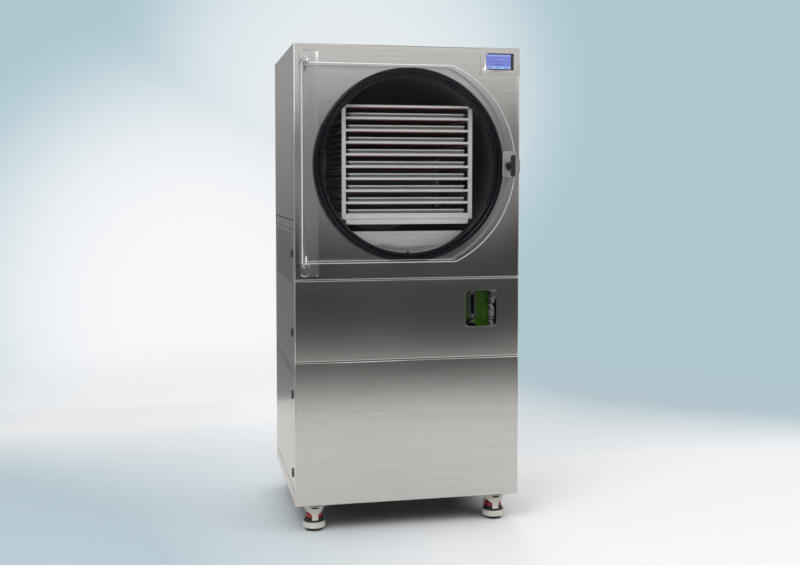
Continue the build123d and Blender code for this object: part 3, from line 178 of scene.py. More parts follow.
class StageSettings(bpy.types.PropertyGroup):
    """Floor, backdrop, lamps and reflector cards."""

    floor: colour_setting("Floor", "Floor", (0.90, 0.92, 0.94))
    floor_glossed: colour_setting("Mirrored floor", "Floor as metal mirrors it", (0.86, 0.85, 0.83))
    # Painted shade: the floor's colour where its painted shade is deepest.
    floor_shade: colour_setting("Floor shade", "Floor where it is shaded", (0.48, 0.60, 0.66))
    near: colour_setting("Backdrop", "Backdrop near the middle", (0.92, 0.93, 0.95))
    far: colour_setting("Backdrop edge", "Backdrop further out", (0.43, 0.58, 0.64))
    mirrored: colour_setting("Mirrored backdrop", "Backdrop as glossy surfaces mirror it",
                             (0.52, 0.52, 0.51))
    glow_way: FloatVectorProperty(name="Glow", description="Where the backdrop is brightest",
                                  default=(0.02, 1.0, -0.11), subtype="DIRECTION")
    beam_way: FloatVectorProperty(name="Beam", description="Second bright place of the backdrop",
                                  default=(0.16, 1.0, 0.08), subtype="DIRECTION")
    floor_radius: length_setting("Floor radius", "Radius of the floor", 4.4)
    ambient: FloatProperty(name="Ambient", description="Even light", default=0.50, min=0.0)
    key: FloatProperty(name="Key", description="Main lamp, in watts", default=70.0, min=0.0)
    fill: FloatProperty(name="Fill", description="Second lamp, in watts", default=26.0, min=0.0)


GROUPS = {
    "steel": SteelSettings,
    "vents": VentSettings,
    "chamber": ChamberSettings,
    "door": DoorSettings,
    "screen": ScreenSettings,
    "pump": PumpSettings,
    "casters": CasterSettings,
    "stage": StageSettings,
}


def settings(context, name):
    """The settings group kept on the scene under this name."""
    return getattr(context.scene, f"freeze_dryer_{name}")


# ------------------------------------------------------------------ finishes
class Graph:
    """The nodes of a material or world, and short ways to add to them."""

    def __init__(self, owner):
        owner.use_nodes = True
        self.tree = owner.node_tree

    def add(self, kind, **inputs):
        """A node of this kind with these inputs set or linked."""
        node = self.tree.nodes.new(f"ShaderNode{kind}")
        for name, value in inputs.items():
            self.feed(node.inputs[name.replace("_", " ")], value)
        return node

    def feed(self, socket, value):
        """Links an output to the socket, or sets the socket's own value."""
        if isinstance(value, bpy.types.NodeSocket):
            self.tree.links.new(value, socket)
        else:
            socket.default_value = value

    def fill(self, node, *values):
        """Feeds a node's inputs in their order."""
        for socket, value in zip(node.inputs, values):
            self.feed(socket, value)
        return node

    def math(self, operation, *values):
        """The result of a Math node."""
        node = self.add("Math")
        node.operation = operation
        return self.fill(node, *values).outputs[0]

    def vector(self, operation, *values):
        """The number that a Vector Math node gives."""
        node = self.add("VectorMath")
        node.operation = operation
        return self.fill(node, *values).outputs["Value"]

    def ease(self, value, start, stop, low=0.0, high=1.0):
        """Runs smoothly from low to high while the value goes from start to stop."""
        node = self.add("MapRange", Value=value, From_Min=start, From_Max=stop,
                        To_Min=low, To_Max=high)
        node.interpolation_type = "SMOOTHSTEP"
        return node.outputs[0]

    def mix(self, share, first, second):
        """A colour between two."""
        node = self.add("Mix")
        node.data_type = "RGBA"
        for index, value in ((0, share), (6, first), (7, second)):
            self.feed(node.inputs[index], value)
        return node.outputs[2]

    def blend(self, share, first, second):
        """A shader between two."""
        return self.fill(self.add("MixShader"), share, first, second).outputs[0]


class Finish(Graph):
    """One material: a Principled shader and the nodes that vary it."""

    def __init__(self, name, colour, metallic, roughness, **sockets):
        self.material = bpy.data.materials.new(name)
        super().__init__(self.material)
        self.shader = self.tree.nodes["Principled BSDF"]
        self.out = self.tree.nodes["Material Output"].inputs["Surface"]
        self.colour = tuple(colour)
        self.set(Base_Color=(*colour, 1.0), Metallic=metallic, Roughness=roughness, **sockets)

    def set(self, **sockets):
        """Feeds inputs of the Principled shader."""
        for name, value in sockets.items():
            self.feed(self.shader.inputs[name.replace("_", " ")], value)

    def place(self):
        """Coordinates fixed to the piece."""
        return self.add("TexCoord").outputs["Object"]

    def noise(self, size, stretch=EVEN, detail=2.0, shift=0.0):
        """Noise with features of this size in metres, drawn out along an axis by stretch."""
        mapping = self.add("Mapping", Vector=self.place(),
                           Location=(shift, 0.7 * shift, 1.3 * shift),
                           Scale=tuple(1 / s for s in stretch))
        return self.add("TexNoise", Vector=mapping.outputs[0], Scale=1 / size,
                        Detail=detail).outputs[0]

    def spread(self, field, low, high):
        """Maps a field's middle range onto low to high."""
        return self.add("MapRange", Value=field, From_Min=0.3, From_Max=0.7,
                        To_Min=low, To_Max=high).outputs[0]

    def tint(self, field, first, second):
        """Base colour that runs from first to second with the field."""
        share = self.spread(field, 0.0, 1.0)
        self.set(Base_Color=self.mix(share, (*first, 1.0), (*second, 1.0)))

    def shade(self, field, amount):
        """Base colour that varies by this share each way with the field."""
        first, second = (tuple(min(1.0, c * share) for c in self.colour)
                         for share in (1 - amount, 1 + amount))
        self.tint(field, first, second)

    def rough(self, field, low, high):
        """Roughness that runs from low to high with the field."""
        self.set(Roughness=self.spread(field, low, high))

    def relief(self, field, depth):
        """A bump of this depth in metres."""
        self.set(Normal=self.add("Bump", Height=field, Distance=depth).outputs[0])


def surface(name, colour, metallic, roughness, shade=None, rough=None, relief=None, **sockets):
    """A material varied by noise.

    shade, rough and relief are each the noise's arguments and then the amounts.
    """
    finish = Finish(name, colour, metallic, roughness, **sockets)
    for vary, given in ((finish.shade, shade), (finish.rough, rough), (finish.relief, relief)):
        if given:
            vary(finish.noise(*given[0]), *given[1:])
    return finish.material


def brushed(name, colour, roughness, along, waviness=0.0):
    """Sheet metal brushed along X, Y or Z."""
    stretch = tuple(45 if axis == along else 1 for axis in "XYZ")
    waves = ((0.22, EVEN, 1.0, 11.0), waviness) if waviness else None
    return surface(name, colour, 1.0, roughness, ((0.006, stretch, 2.0, 3.0), 0.04),
                   ((0.35, EVEN, 2.0, 7.0), roughness * 0.95, roughness * 1.05), waves)


def cast_metal(name, colour, roughness, size=0.0025, depth=0.00012, metallic=0.0, **sockets):
    """Painted or bare casting with a fine orange-peel skin and worn patches."""
    patch = (0.03, EVEN, 3.0, 5.0)
    return surface(name, colour, metallic, roughness, (patch, 0.07),
                   (patch, roughness * 0.8, roughness * 1.25), ((size,), depth), **sockets)


def moulded(name, colour, roughness, **sockets):
    """Moulded plastic or rubber with a fine spark-eroded texture."""
    smear = (0.02, EVEN, 3.0, 9.0)
    return surface(name, colour, 0.0, roughness, (smear, 0.12),
                   (smear, roughness * 0.8, min(1.0, roughness * 1.2)),
                   ((0.0007, EVEN, 1.0), 0.00004), **sockets)


def paint(names, material, slot):
    """Gives these construction nodes a material in place of the plain one."""
    for name in names.split():
        mesh = nodes[name].data
        mesh.materials.clear()
        mesh.materials.append(material)


# -------------------------------------------------------------------- meshes
def put(name, data):
    """A new object on the scene."""
    made = bpy.data.objects.new(name, data)
    bpy.context.scene.collection.objects.link(made)
    return made


def mm(*pairs):
    """Pairs of millimetres, in metres."""
    return [(first * MM, second * MM) for first, second in pairs]


def arc(middle, radius, first, last, steps):
    """Points along part of a circle, from the first angle to the last, in degrees."""
    run = []
    for i in range(steps + 1):
        turn = math.radians(first + (last - first) * i / steps)
        run.append((middle[0] + radius * math.cos(turn), middle[1] + radius * math.sin(turn)))
    return run


def rounded(low, high, corner, steps=5):
    """Pairs of numbers round a rectangle with round corners."""
    (x0, y0), (x1, y1) = low, high
    centres = ((x1 - corner, y1 - corner), (x0 + corner, y1 - corner),
               (x0 + corner, y0 + corner), (x1 - corner, y0 + corner))
    run = []
    for quarter, centre in enumerate(centres):
        run += arc(centre, corner, 90 * quarter, 90 * quarter + 90, steps)
    return run


class Builder:
    """Points and faces of one piece, put together in the shared frame."""

    def __init__(self):
        self.mesh = bmesh.new()
        self.points = {}

    def point(self, place):
        """The vertex at this place, made once."""
        key = tuple(round(c, 7) for c in place)
        if key not in self.points:
            self.points[key] = self.mesh.verts.new(place)
        return self.points[key]

    def face(self, places, smooth=False, slot=0):
        """A face through these places; places that fall together count once."""
        corners = []
        for place in places:
            corner = self.point(place)
            if not corners or corner is not corners[-1]:
                corners.append(corner)
        if corners[0] is corners[-1]:
            corners.pop()
        made = self.mesh.faces.new(corners)
        made.smooth = smooth
        made.material_index = slot

    def band(self, near, far, smooth=True, slot=0):
        """Faces between two closed runs of as many places."""
        for i in range(len(near)):
            j = (i + 1) % len(near)
            self.face((near[i], near[j], far[j], far[i]), smooth, slot)

    def copy(self, node):
        """Takes in a construction node, with its points joined."""
        self.mesh.from_mesh(nodes[node].data)
        bmesh.ops.remove_doubles(self.mesh, verts=self.mesh.verts[:], dist=0.01 * MM)
        for face in self.mesh.faces:
            face.smooth = True
            face.material_index = 0

    def remap(self, axis, pairs):
        """Moves points along an axis: pairs of millimetres say what goes where, straight between."""
        index = "xyz".index(axis)
        first, last = pairs[0], pairs[-1]
        for vert in self.mesh.verts:
            here = vert.co[index] / MM
            if here <= first[0]:
                vert.co[index] += (first[1] - first[0]) * MM
            elif here >= last[0]:
                vert.co[index] += (last[1] - last[0]) * MM
            else:
                for (a0, b0), (a1, b1) in zip(pairs, pairs[1:]):
                    if a0 <= here <= a1:
                        vert.co[index] = (b0 + (b1 - b0) * (here - a0) / (a1 - a0)) * MM
                        break

    def turned(self, centre, axis, profile, steps):
        """Rings of places: one for each (distance along axis, radius) pair."""
        along = Vector(axis).normalized()
        side = along.orthogonal().normalized()
        other = along.cross(side)
        rings = []
        for distance, radius in profile:
            middle = Vector(centre) + along * distance
            turns = [2 * math.pi * i / steps for i in range(steps)]
            rings.append([middle + (side * math.cos(t) + other * math.sin(t)) * radius
                          for t in turns])
        return rings

    def ring(self, centre, axis, loop, steps):
        """A turned ring: loop is a closed run of (distance along axis, radius) pairs."""
        rings = self.turned(centre, axis, loop, steps)
        for near, far in zip(rings, rings[1:] + rings[:1]):
            self.band(near, far)

    def lathe(self, centre, axis, profile, steps):
        """A turned solid: profile is (distance along axis, radius) pairs."""
        rings = self.turned(centre, axis, profile, steps)
        for near, far in zip(rings, rings[1:]):
            self.band(near, far)
        if profile[0][1] > 0:
            self.face(rings[0][::-1])
        if profile[-1][1] > 0:
            self.face(rings[-1])

    def tube(self, path, radius, slot):
        """A round bar along a level closed run of points."""
        sides = 8
        rings = []
        for i, here in enumerate(path):
            way = Vector(path[(i + 1) % len(path)]) - Vector(path[i - 1])
            across = way.normalized().cross(Vector((0, 0, 1))).normalized()
            ring = []
            for j in range(sides):
                turn = 2 * math.pi * j / sides
                ring.append(Vector(here) + across * (radius * math.cos(turn))
                            + Vector((0, 0, radius * math.sin(turn))))
            rings.append(ring)
        for near, far in zip(rings, rings[1:] + rings[:1]):
            self.band(near, far, True, slot)

    def block(self, start, end, slot=0):
        """A box between two opposite corners."""
        spans = [sorted(pair) for pair in zip(start, end)]
        verts = [self.mesh.verts.new((x, y, z))
                 for z in spans[2] for y in spans[1] for x in spans[0]]
        for ids in ((0, 2, 3, 1), (4, 5, 7, 6), (0, 1, 5, 4), (2, 6, 7, 3), (0, 4, 6, 2), (1, 3, 7, 5)):
            made = self.mesh.faces.new([verts[i] for i in ids])
            made.material_index = slot

    def prism(self, outline, depth):
        """Pushes a closed outline of points along depth, a vector."""
        near = [Vector(p) for p in outline]
        far = [p + Vector(depth) for p in near]
        self.face(near[::-1])
        self.face(far)
        self.band(near, far, False)

    def finish(self, name, body, materials, slot, bevel=0.0, segments=2, stands_for=()):
        """Makes the object and rides it on its body; the slot it is given is not used."""
        bmesh.ops.recalc_face_normals(self.mesh, faces=self.mesh.faces[:])
        data = bpy.data.meshes.new(name)
        self.mesh.to_mesh(data)
        self.mesh.free()
        data.set_sharp_from_angle(angle=math.radians(SHARP_ANGLE))
        made = put(name, data)
        for material in materials:
            data.materials.append(material)
        if bevel:
            edge = made.modifiers.new("Edges", "BEVEL")
            edge.width = bevel
            edge.segments = segments
            edge.limit_method = "ANGLE"
            edge.harden_normals = True
        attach(made, body)
        if stands_for:
            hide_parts(*stands_for)
        return made


def eased(node, body, material, slot, bevel, segments=2, **moves):
    """A construction node with its edges eased, which stands for the plain one.

    Moves are remap pairs for x, y and z.
    """
    made = Builder()
    made.copy(node)
    for axis, pairs in moves.items():
        made.remap(axis, pairs)
    made.finish(f"{node}_eased", body, [material], slot, bevel, segments, (node,))


class Job(bpy.types.Operator):
    """Shared by every operator below."""

    bl_options = {"REGISTER", "UNDO"}


# --------------------------------------------------------------------- stage
def lamp(name, place, power, size):
    """A soft square lamp that faces the middle of the machine."""
    data = bpy.data.lights.new(name, "AREA")
    data.energy = power
    data.size = size
    made = put(name, data)
    made.location = place
    middle = Vector((0.0, 0.0, 0.8))
    toward = middle - Vector(place)
    made.rotation_euler = toward.to_track_quat("-Z", "Y").to_euler()


def reflector_card(name, start, end, top, stops):
    """An upright card from the floor up that only glossy surfaces see.

    It goes from start to end, both (x, y).  Its stops are (share of the height, brightness) pairs.
    """
    data = bpy.data.meshes.new(name)
    data.from_pydata([(*start, 0.0), (*end, 0.0), (*end, top), (*start, top)], [], [(0, 1, 2, 3)])
    made = put(name, data)
    material = bpy.data.materials.new(name)
    graph = Graph(material)
    graph.tree.nodes.clear()
    place = graph.add("TexCoord").outputs["Generated"]
    ramp = graph.add("ValToRGB", Fac=graph.add("SeparateXYZ", Vector=place).outputs[2])
    glow = graph.add("Emission", Color=ramp.outputs[0])
    graph.add("OutputMaterial", Surface=glow.outputs[0])
    ramp.color_ramp.interpolation = "B_SPLINE"
    elements = ramp.color_ramp.elements
    while len(elements) < len(stops):
        elements.new(0.5)
    for element, (position, level) in zip(elements, stops):
        element.position = position
        element.color = (level, level, level * 0.985, 1)
    data.materials.append(material)
    for rays in ("camera", "diffuse", "shadow", "transmission", "volume_scatter"):
        setattr(made, f"visible_{rays}", False)


def backdrop(stage):
    """World: even light for the object, and a pale shaded backdrop for the eye and for gloss."""
    world = bpy.data.worlds.new("Backdrop")
    bpy.context.scene.world = world
    graph = Graph(world)
    graph.tree.nodes.clear()
    way = graph.add("TexCoord").outputs["Generated"]
    lobes = []
    # Each bright place: its middle, how far it reaches in degrees, and its share of the near tone.
    for bright, reach, most in ((stage.glow_way, 15.5, 1.0), (stage.beam_way, 13.0, 0.72)):
        edge, core = (math.cos(math.radians(degrees)) for degrees in (reach, 2.0))
        toward = graph.vector("DOT_PRODUCT", way, Vector(bright).normalized())
        lobes.append(graph.ease(toward, edge, core, 0.0, most))
    pale = graph.mix(graph.math("MAXIMUM", *lobes), (*stage.far, 1), (*stage.near, 1))
    rays = graph.add("LightPath").outputs
    tone = graph.mix(rays["Is Glossy Ray"], pale, (*stage.mirrored, 1))
    seen = graph.add("Background", Color=tone, Strength=1.0)
    height = graph.ease(graph.add("SeparateXYZ", Vector=way).outputs[2], 0.25, 0.85,
                        0.02 * stage.ambient, 2.2 * stage.ambient)
    even = graph.add("Background", Color=(1, 1, 1, 1), Strength=height)
    shown = rays["Is Camera Ray"]
    for name in ("Is Glossy Ray", "Is Transmission Ray"):
        shown = graph.math("MAXIMUM", shown, rays[name])
    graph.add("OutputWorld", Surface=graph.blend(shown, even.outputs[0], seen.outputs[0]))


class FREEZEDRYER_OT_stage(Job):
    """Floor, backdrop, lamps, reflector cards and camera"""

    bl_idname = "freeze_dryer.stage"
    bl_label = "Stage"

    def execute(self, context):
        stage = settings(context, "stage")
        self.floor(stage)
        backdrop(stage)
        lamp("Key lamp", (-2.2, -2.8, 3.9), stage.key, 2.2)
        lamp("Fill lamp", (2.8, -2.4, 2.6), stage.fill, 2.0)
        lamp("Back lamp", (0.6, 3.0, 3.2), stage.fill, 2.0)
        reflector_card(
            "Front card", (-3.2, -3.1), (4.4, -3.1), 2.4,
            [(0.0, 0.24), (0.04, 0.13), (0.10, 0.05), (0.16, 0.03), (0.24, 0.03), (0.29, 0.03),
             (0.34, 0.11), (0.40, 0.22), (0.45, 0.38), (0.49, 0.36), (0.60, 0.17), (0.66, 0.24),
             (0.70, 0.42), (0.755, 0.70), (0.83, 0.92)])
        reflector_card(
            "Side card", (-2.6, 2.0), (-0.5, 2.0), 2.6,
            [(0.0, 0.20), (0.2, 0.15), (0.4, 0.17), (0.6, 0.32), (0.75, 0.42), (0.95, 0.26)])
        reflector_card("Left card", (-3.0, -2.6), (-3.0, 1.8), 2.6,
                       [(0.0, 0.45), (0.5, 0.5), (1.0, 0.6)])
        self.camera(context.scene)
        context.scene.view_settings.view_transform = "Standard"
        return {"FINISHED"}

    def floor(self, stage):
        """A pale round floor with painted shade, which fades out into the backdrop."""
        data = bpy.data.meshes.new("Floor")
        sheet = bmesh.new()
        bmesh.ops.create_circle(sheet, cap_ends=True, segments=96, radius=stage.floor_radius)
        sheet.to_mesh(data)
        sheet.free()
        made = put("Floor", data)
        finish = Finish("Pale floor", stage.floor, 0.0, 0.55)
        turned = finish.add("Mapping", Vector=finish.place(),
                            Rotation=(0.0, 0.0, math.radians(VIEW_TURN)))
        way = finish.add("SeparateXYZ", Vector=turned.outputs[0]).outputs
        # Painted shade: as the camera sees it, the floor's colour darkens diagonally, most towards the
        # front left; other rays see the plain mirrored floor.
        ahead = finish.math("SUBTRACT", 1.0, way[1])
        slope, level = 0.27, 0.62
        saddle = finish.math("MULTIPLY", finish.math("MULTIPLY", way[0], ahead), slope)
        share = finish.spread(finish.math("ADD", saddle, level), 0.0, 1.0)
        tinted = finish.mix(share, (*stage.floor_shade, 1.0), (*stage.floor, 1.0))
        eye = finish.add("LightPath").outputs["Is Camera Ray"]
        finish.set(Base_Color=finish.mix(eye, (*stage.floor_glossed, 1.0), tinted))
        fade = finish.ease(finish.vector("LENGTH", finish.place()),
                           0.45 * stage.floor_radius, stage.floor_radius)
        clear = finish.add("BsdfTransparent").outputs[0]
        finish.feed(finish.out, finish.blend(fade, finish.shader.outputs[0], clear))
        data.materials.append(finish.material)

    def camera(self, scene):
        """The viewpoint: a little to the left, at about seven tenths of the height."""
        data = bpy.data.cameras.new("Camera")
        data.sensor_width = 36.0
        data.lens = 47.63
        data.shift_y = -0.055
        nod = 3.018
        data.clip_end = 60.0
        made = put("Camera", data)
        made.location = (-0.7939, -3.9342, 1.2249)
        made.rotation_euler = (math.radians(90.0 - nod), 0.0, math.radians(-VIEW_TURN))
        scene.camera = made


# ------------------------------------------------------------------- cabinet
class FREEZEDRYER_OT_cabinet(Job):
    """Brushed sheet, welded frame and base of the cabinet"""

    bl_idname = "freeze_dryer.cabinet"
    bl_label = "Cabinet"

    def execute(self, context):
        steel = settings(context, "steel")
        front = brushed("Brushed front sheet", steel.tone, steel.roughness, "X", steel.waviness)
        side = brushed("Brushed side sheet", steel.tone, steel.roughness * 1.4, "Z")
        base = Finish("Base sheet", steel.tone, 1.0, steel.roughness * 1.4)
        # Painted shade: faces of the base sheet that point down are near black; faces that point
        # sideways or up keep the steel tone.
        upward = base.add("SeparateXYZ", Vector=base.add("NewGeometry").outputs["Normal"])
        base.tint(base.math("ADD", upward.outputs[2], 1.0), steel.painted_under_shade, steel.tone)
        base.rough(base.noise(0.05, detail=3.0), steel.roughness * 1.2, steel.roughness * 1.6)
        for part in ("upper", "middle", "lower"):
            eased(f"front_{part}_panel", "cabinet", front, "panel_steel", steel.fold, 3,
                  z=FRONT_HEIGHTS)
        eased("screen_bezel", "cabinet", front, "panel_steel", 0.25 * MM,
              y=[(-322.8, -321.4), (-319.8, -319.8)],
              x=[(263, 255.5), (283, 277.0), (379, 373.0), (403, 403)],
              z=[(1603, 1606), (1622, 1624.5), (1681, 1678.6), (1700, 1700)])
        paint("left_lower_panel right_lower_panel upper_shell rear_panel", side, "panel_steel")
        paint("base_pan pump_deck", base.material, "base_steel")
        paint("cabinet_frame", side, "frame_steel")
        self.seals(moulded("Edge seal", (0.02, 0.02, 0.02), 0.5))
        return {"FINISHED"}

    def seals(self, material):
        """Dark seals along the edges of the side panels."""
        made = Builder()
        tall, proud, deep, inset, strip = 1.7 * MM, 0.5 * MM, 2.0 * MM, 4.0 * MM, 33.0 * MM
        for side in ("left", "right"):
            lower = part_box(f"{side}_lower_panel")
            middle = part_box(f"{side}_middle_panel")
            left, right = lower[0].x - proud, lower[0].x + deep
            if side == "right":
                left, right = lower[1].x - deep, lower[1].x + proud
            above = middle[1].z + strip
            for z in (lower[1].z, middle[0].z - tall, middle[1].z, above - tall):
                made.block((left, middle[0].y + inset, z), (right, middle[1].y - inset, z + tall))
        made.finish("panel_edge_seals", "cabinet", [material], "black_plastic", 0.3 * MM)


class FREEZEDRYER_OT_side_vents(Job):
    """Middle side panels, with their perforated field"""

    bl_idname = "freeze_dryer.side_vents"
    bl_label = "Side vents"

    def execute(self, context):
        steel = settings(context, "steel")
        vents = settings(context, "vents")
        sheet = brushed("Brushed vented sheet", steel.tone, steel.roughness * 1.4, "Z")
        foam = surface("Vent filter foam", (0.012, 0.012, 0.013), 0.0, 0.9,
                       ((0.003, EVEN, 3.0), 0.3), relief=((0.002, EVEN, 3.0, 5.0), 0.0004))
        backs = Builder()
        near, far, margin = 2.0 * MM, 6.0 * MM, 5.0 * MM
        for side, node in ((-1, "left_middle_panel"), (1, "right_middle_panel")):
            self.panel(side, node, sheet, vents)
            low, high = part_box(node)
            face = low.x if side < 0 else high.x
            top = high.z - vents.top_margin + margin
            bottom = top - vents.rows * vents.row_pitch - 2 * margin
            half = (vents.columns + 0.5) * vents.column_pitch / 2 + margin
            middle = (low.y + high.y) / 2
            backs.block((face - side * near, middle - half, bottom),
                        (face - side * far, middle + half, top))
        backs.finish("vent_filters", "cabinet", [foam], "black_plastic", 0.8 * MM)
        return {"FINISHED"}

    def panel(self, side, node, sheet, vents):
        """A folded sheet with rows of staggered holes, hollow towards the frame."""
        low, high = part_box(node)
        face_x = low.x if side < 0 else high.x
        bend = 2.0 * MM
        half = vents.column_pitch / 2
        made = Builder()

        def place(y, z, inward=0.0):
            return (face_x - side * inward, y, z)

        def sheet_between(y0, y1, z0, z1):
            made.face((place(y0, z0), place(y1, z0), place(y1, z1), place(y0, z1)))

        steps = 2 * vents.columns + 1
        bottom = high.z - vents.top_margin - vents.rows * vents.row_pitch
        front = (low.y + high.y) / 2 - steps * half / 2
        across = [front + i * half for i in range(steps + 1)]
        rows = [bottom + i * vents.row_pitch for i in range(vents.rows + 1)]
        for row, (z0, z1) in enumerate(zip(rows, rows[1:])):
            first = row % 2
            for column in range(vents.columns):
                self.cell(made, place, across[first + 2 * column], z0, z1, vents)
            spare = 0 if first else steps - 1
            sheet_between(across[spare], across[spare + 1], z0, z1)
            sheet_between(low.y + bend, across[0], z0, z1)
            sheet_between(across[-1], high.y - bend, z0, z1)
        edges = [low.y + bend, *across, high.y - bend]
        for y0, y1 in zip(edges, edges[1:]):
            sheet_between(y0, y1, low.z, rows[0])
            sheet_between(y0, y1, rows[-1], high.z)
        profile = [(low.y, high.x - low.x)]
        profile += [(low.y + y, depth) for y, depth in arc((bend, bend), bend, 180, 270, 4)]
        profile += [(low.y + high.y - y, depth) for y, depth in reversed(profile)]
        for (y0, d0), (y1, d1) in zip(profile, profile[1:]):
            if max(d0, d1) > 0.001 * MM:
                made.face((place(y0, low.z, d0), place(y1, low.z, d1),
                           place(y1, high.z, d1), place(y0, high.z, d0)), True)
        for z in (low.z, high.z):
            made.face([place(y, z, depth) for y, depth in profile])
        panel = made.finish(node.replace("middle", "vented"), "cabinet", [sheet], "panel_steel",
                            stands_for=(node,))
        panel.data.shade_flat()
        thickness = panel.modifiers.new("Sheet", "SOLIDIFY")
        thickness.thickness = 1.2 * MM
        thickness.offset = -1.0
        thickness.use_even_offset = True

    def cell(self, made, place, y, z0, z1, vents):
        """One hole and the sheet round it, out to its six neighbouring points."""
        half = vents.column_pitch / 2
        outer = [place(y + i * half, z) for i, z in
                 ((0, z0), (1, z0), (2, z0), (2, z1), (1, z1), (0, z1))]
        hole = arc((y + half, (z0 + z1) / 2), vents.hole / 2, 210, 510, 5)
        made.band(outer, [place(*spot) for spot in hole], False)


class FREEZEDRYER_OT_fasteners(Job):
    """Quarter-turn fasteners of the side panels"""

    bl_idname = "freeze_dryer.fasteners"
    bl_label = "Panel fasteners"

    def execute(self, context):
        black = moulded("Black moulding", settings(context, "door").handle, 0.42)
        low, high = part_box("panel_fasteners")
        y = (low.y + high.y) / 2
        radius = (high.y - low.y) / 2
        proud, recess, half_width, half_length = 4.0 * MM, 2.6 * MM, 1.7 * MM, 8.4 * MM
        made = Builder()
        for side, outside in ((-1, low.x), (1, high.x)):
            for z in (0.204, 0.482, 0.701, 0.978):
                inside = outside - side * proud
                made.lathe((inside, y, z), (side, 0, 0),
                           [(0.0, radius), (2.2 * MM, radius), (3.5 * MM, radius - 1.2 * MM),
                            (proud, radius - 3.5 * MM), (proud, 9.0 * MM),
                            (recess, half_length)], 40)
                bar = inside + side * recess
                made.block((bar, y - half_width, z - half_length),
                           (bar + side * 1.4 * MM, y + half_width, z + half_length))
                made.lathe((inside, y, z), (-side, 0, 0), mm((0.0, 3.5), (10.0, 3.5)), 12)
        made.finish("quarter_turn_fasteners", "cabinet", [black], "black_plastic",
                    stands_for=("panel_fasteners",))
        return {"FINISHED"}


# ------------------------------------------------------------------- chamber
class FREEZEDRYER_OT_chamber(Job):
    """Vessel, gasket, foam jacket and apron"""

    bl_idname = "freeze_dryer.chamber"
    bl_label = "Chamber"

    def execute(self, context):
        chamber = settings(context, "chamber")
        wall = surface("Polished vessel", chamber.wall, 0.85, 0.34,
                       ((0.004, (1, 60, 1), 2.0), 0.05), ((0.08, EVEN, 3.0, 2.0), 0.3, 0.4),
                       ((0.0012, (40, 1, 40), 1.0), 0.00001))
        paint("chamber_shell", wall, "chamber_steel")

        rubber = surface("Gasket rubber", chamber.rubber, 0.0, 0.06, ((0.03, EVEN, 3.0), 0.06),
                         ((0.02, EVEN, 2.0, 4.0), 0.05, 0.08), Specular_IOR_Level=0.2)
        paint("vacuum_hose", rubber, "gasket_rubber")
        low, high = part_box("chamber_gasket")
        outer = (high.x - low.x) / 2
        middle = ((low.x + high.x) / 2, 0.0, (low.z + high.z) / 2)
        made = Builder()
        for outside, inside, crown in ((0.0, 19.0, 0.0), (17.0, 33.0, 6.0)):
            half = (inside - outside) / 2 * MM
            bead = rounded((low.y + crown * MM, outer - inside * MM),
                           (high.y, outer - outside * MM), 0.98 * half, 9)
            made.ring(middle, (0, 1, 0), bead, 128)
        made.finish("bead_gasket", "cabinet", [rubber], "gasket_rubber",
                    stands_for=("chamber_gasket",))

        foam = surface("Foam jacket", chamber.foam, 0.0, 0.95, ((0.012, EVEN, 4.0), 0.18),
                       relief=((0.006, EVEN, 4.0, 6.0), 0.0012))
        paint("chamber_insulation", foam, "foam")

        apron = brushed("Satin apron sheet", (0.86, 0.86, 0.85), 0.45, "X")
        eased("lower_apron", "cabinet", apron, "apron_steel", 1.0 * MM,
              z=[(973.4, 973.4), (1046.0, 1054.5)])
        return {"FINISHED"}


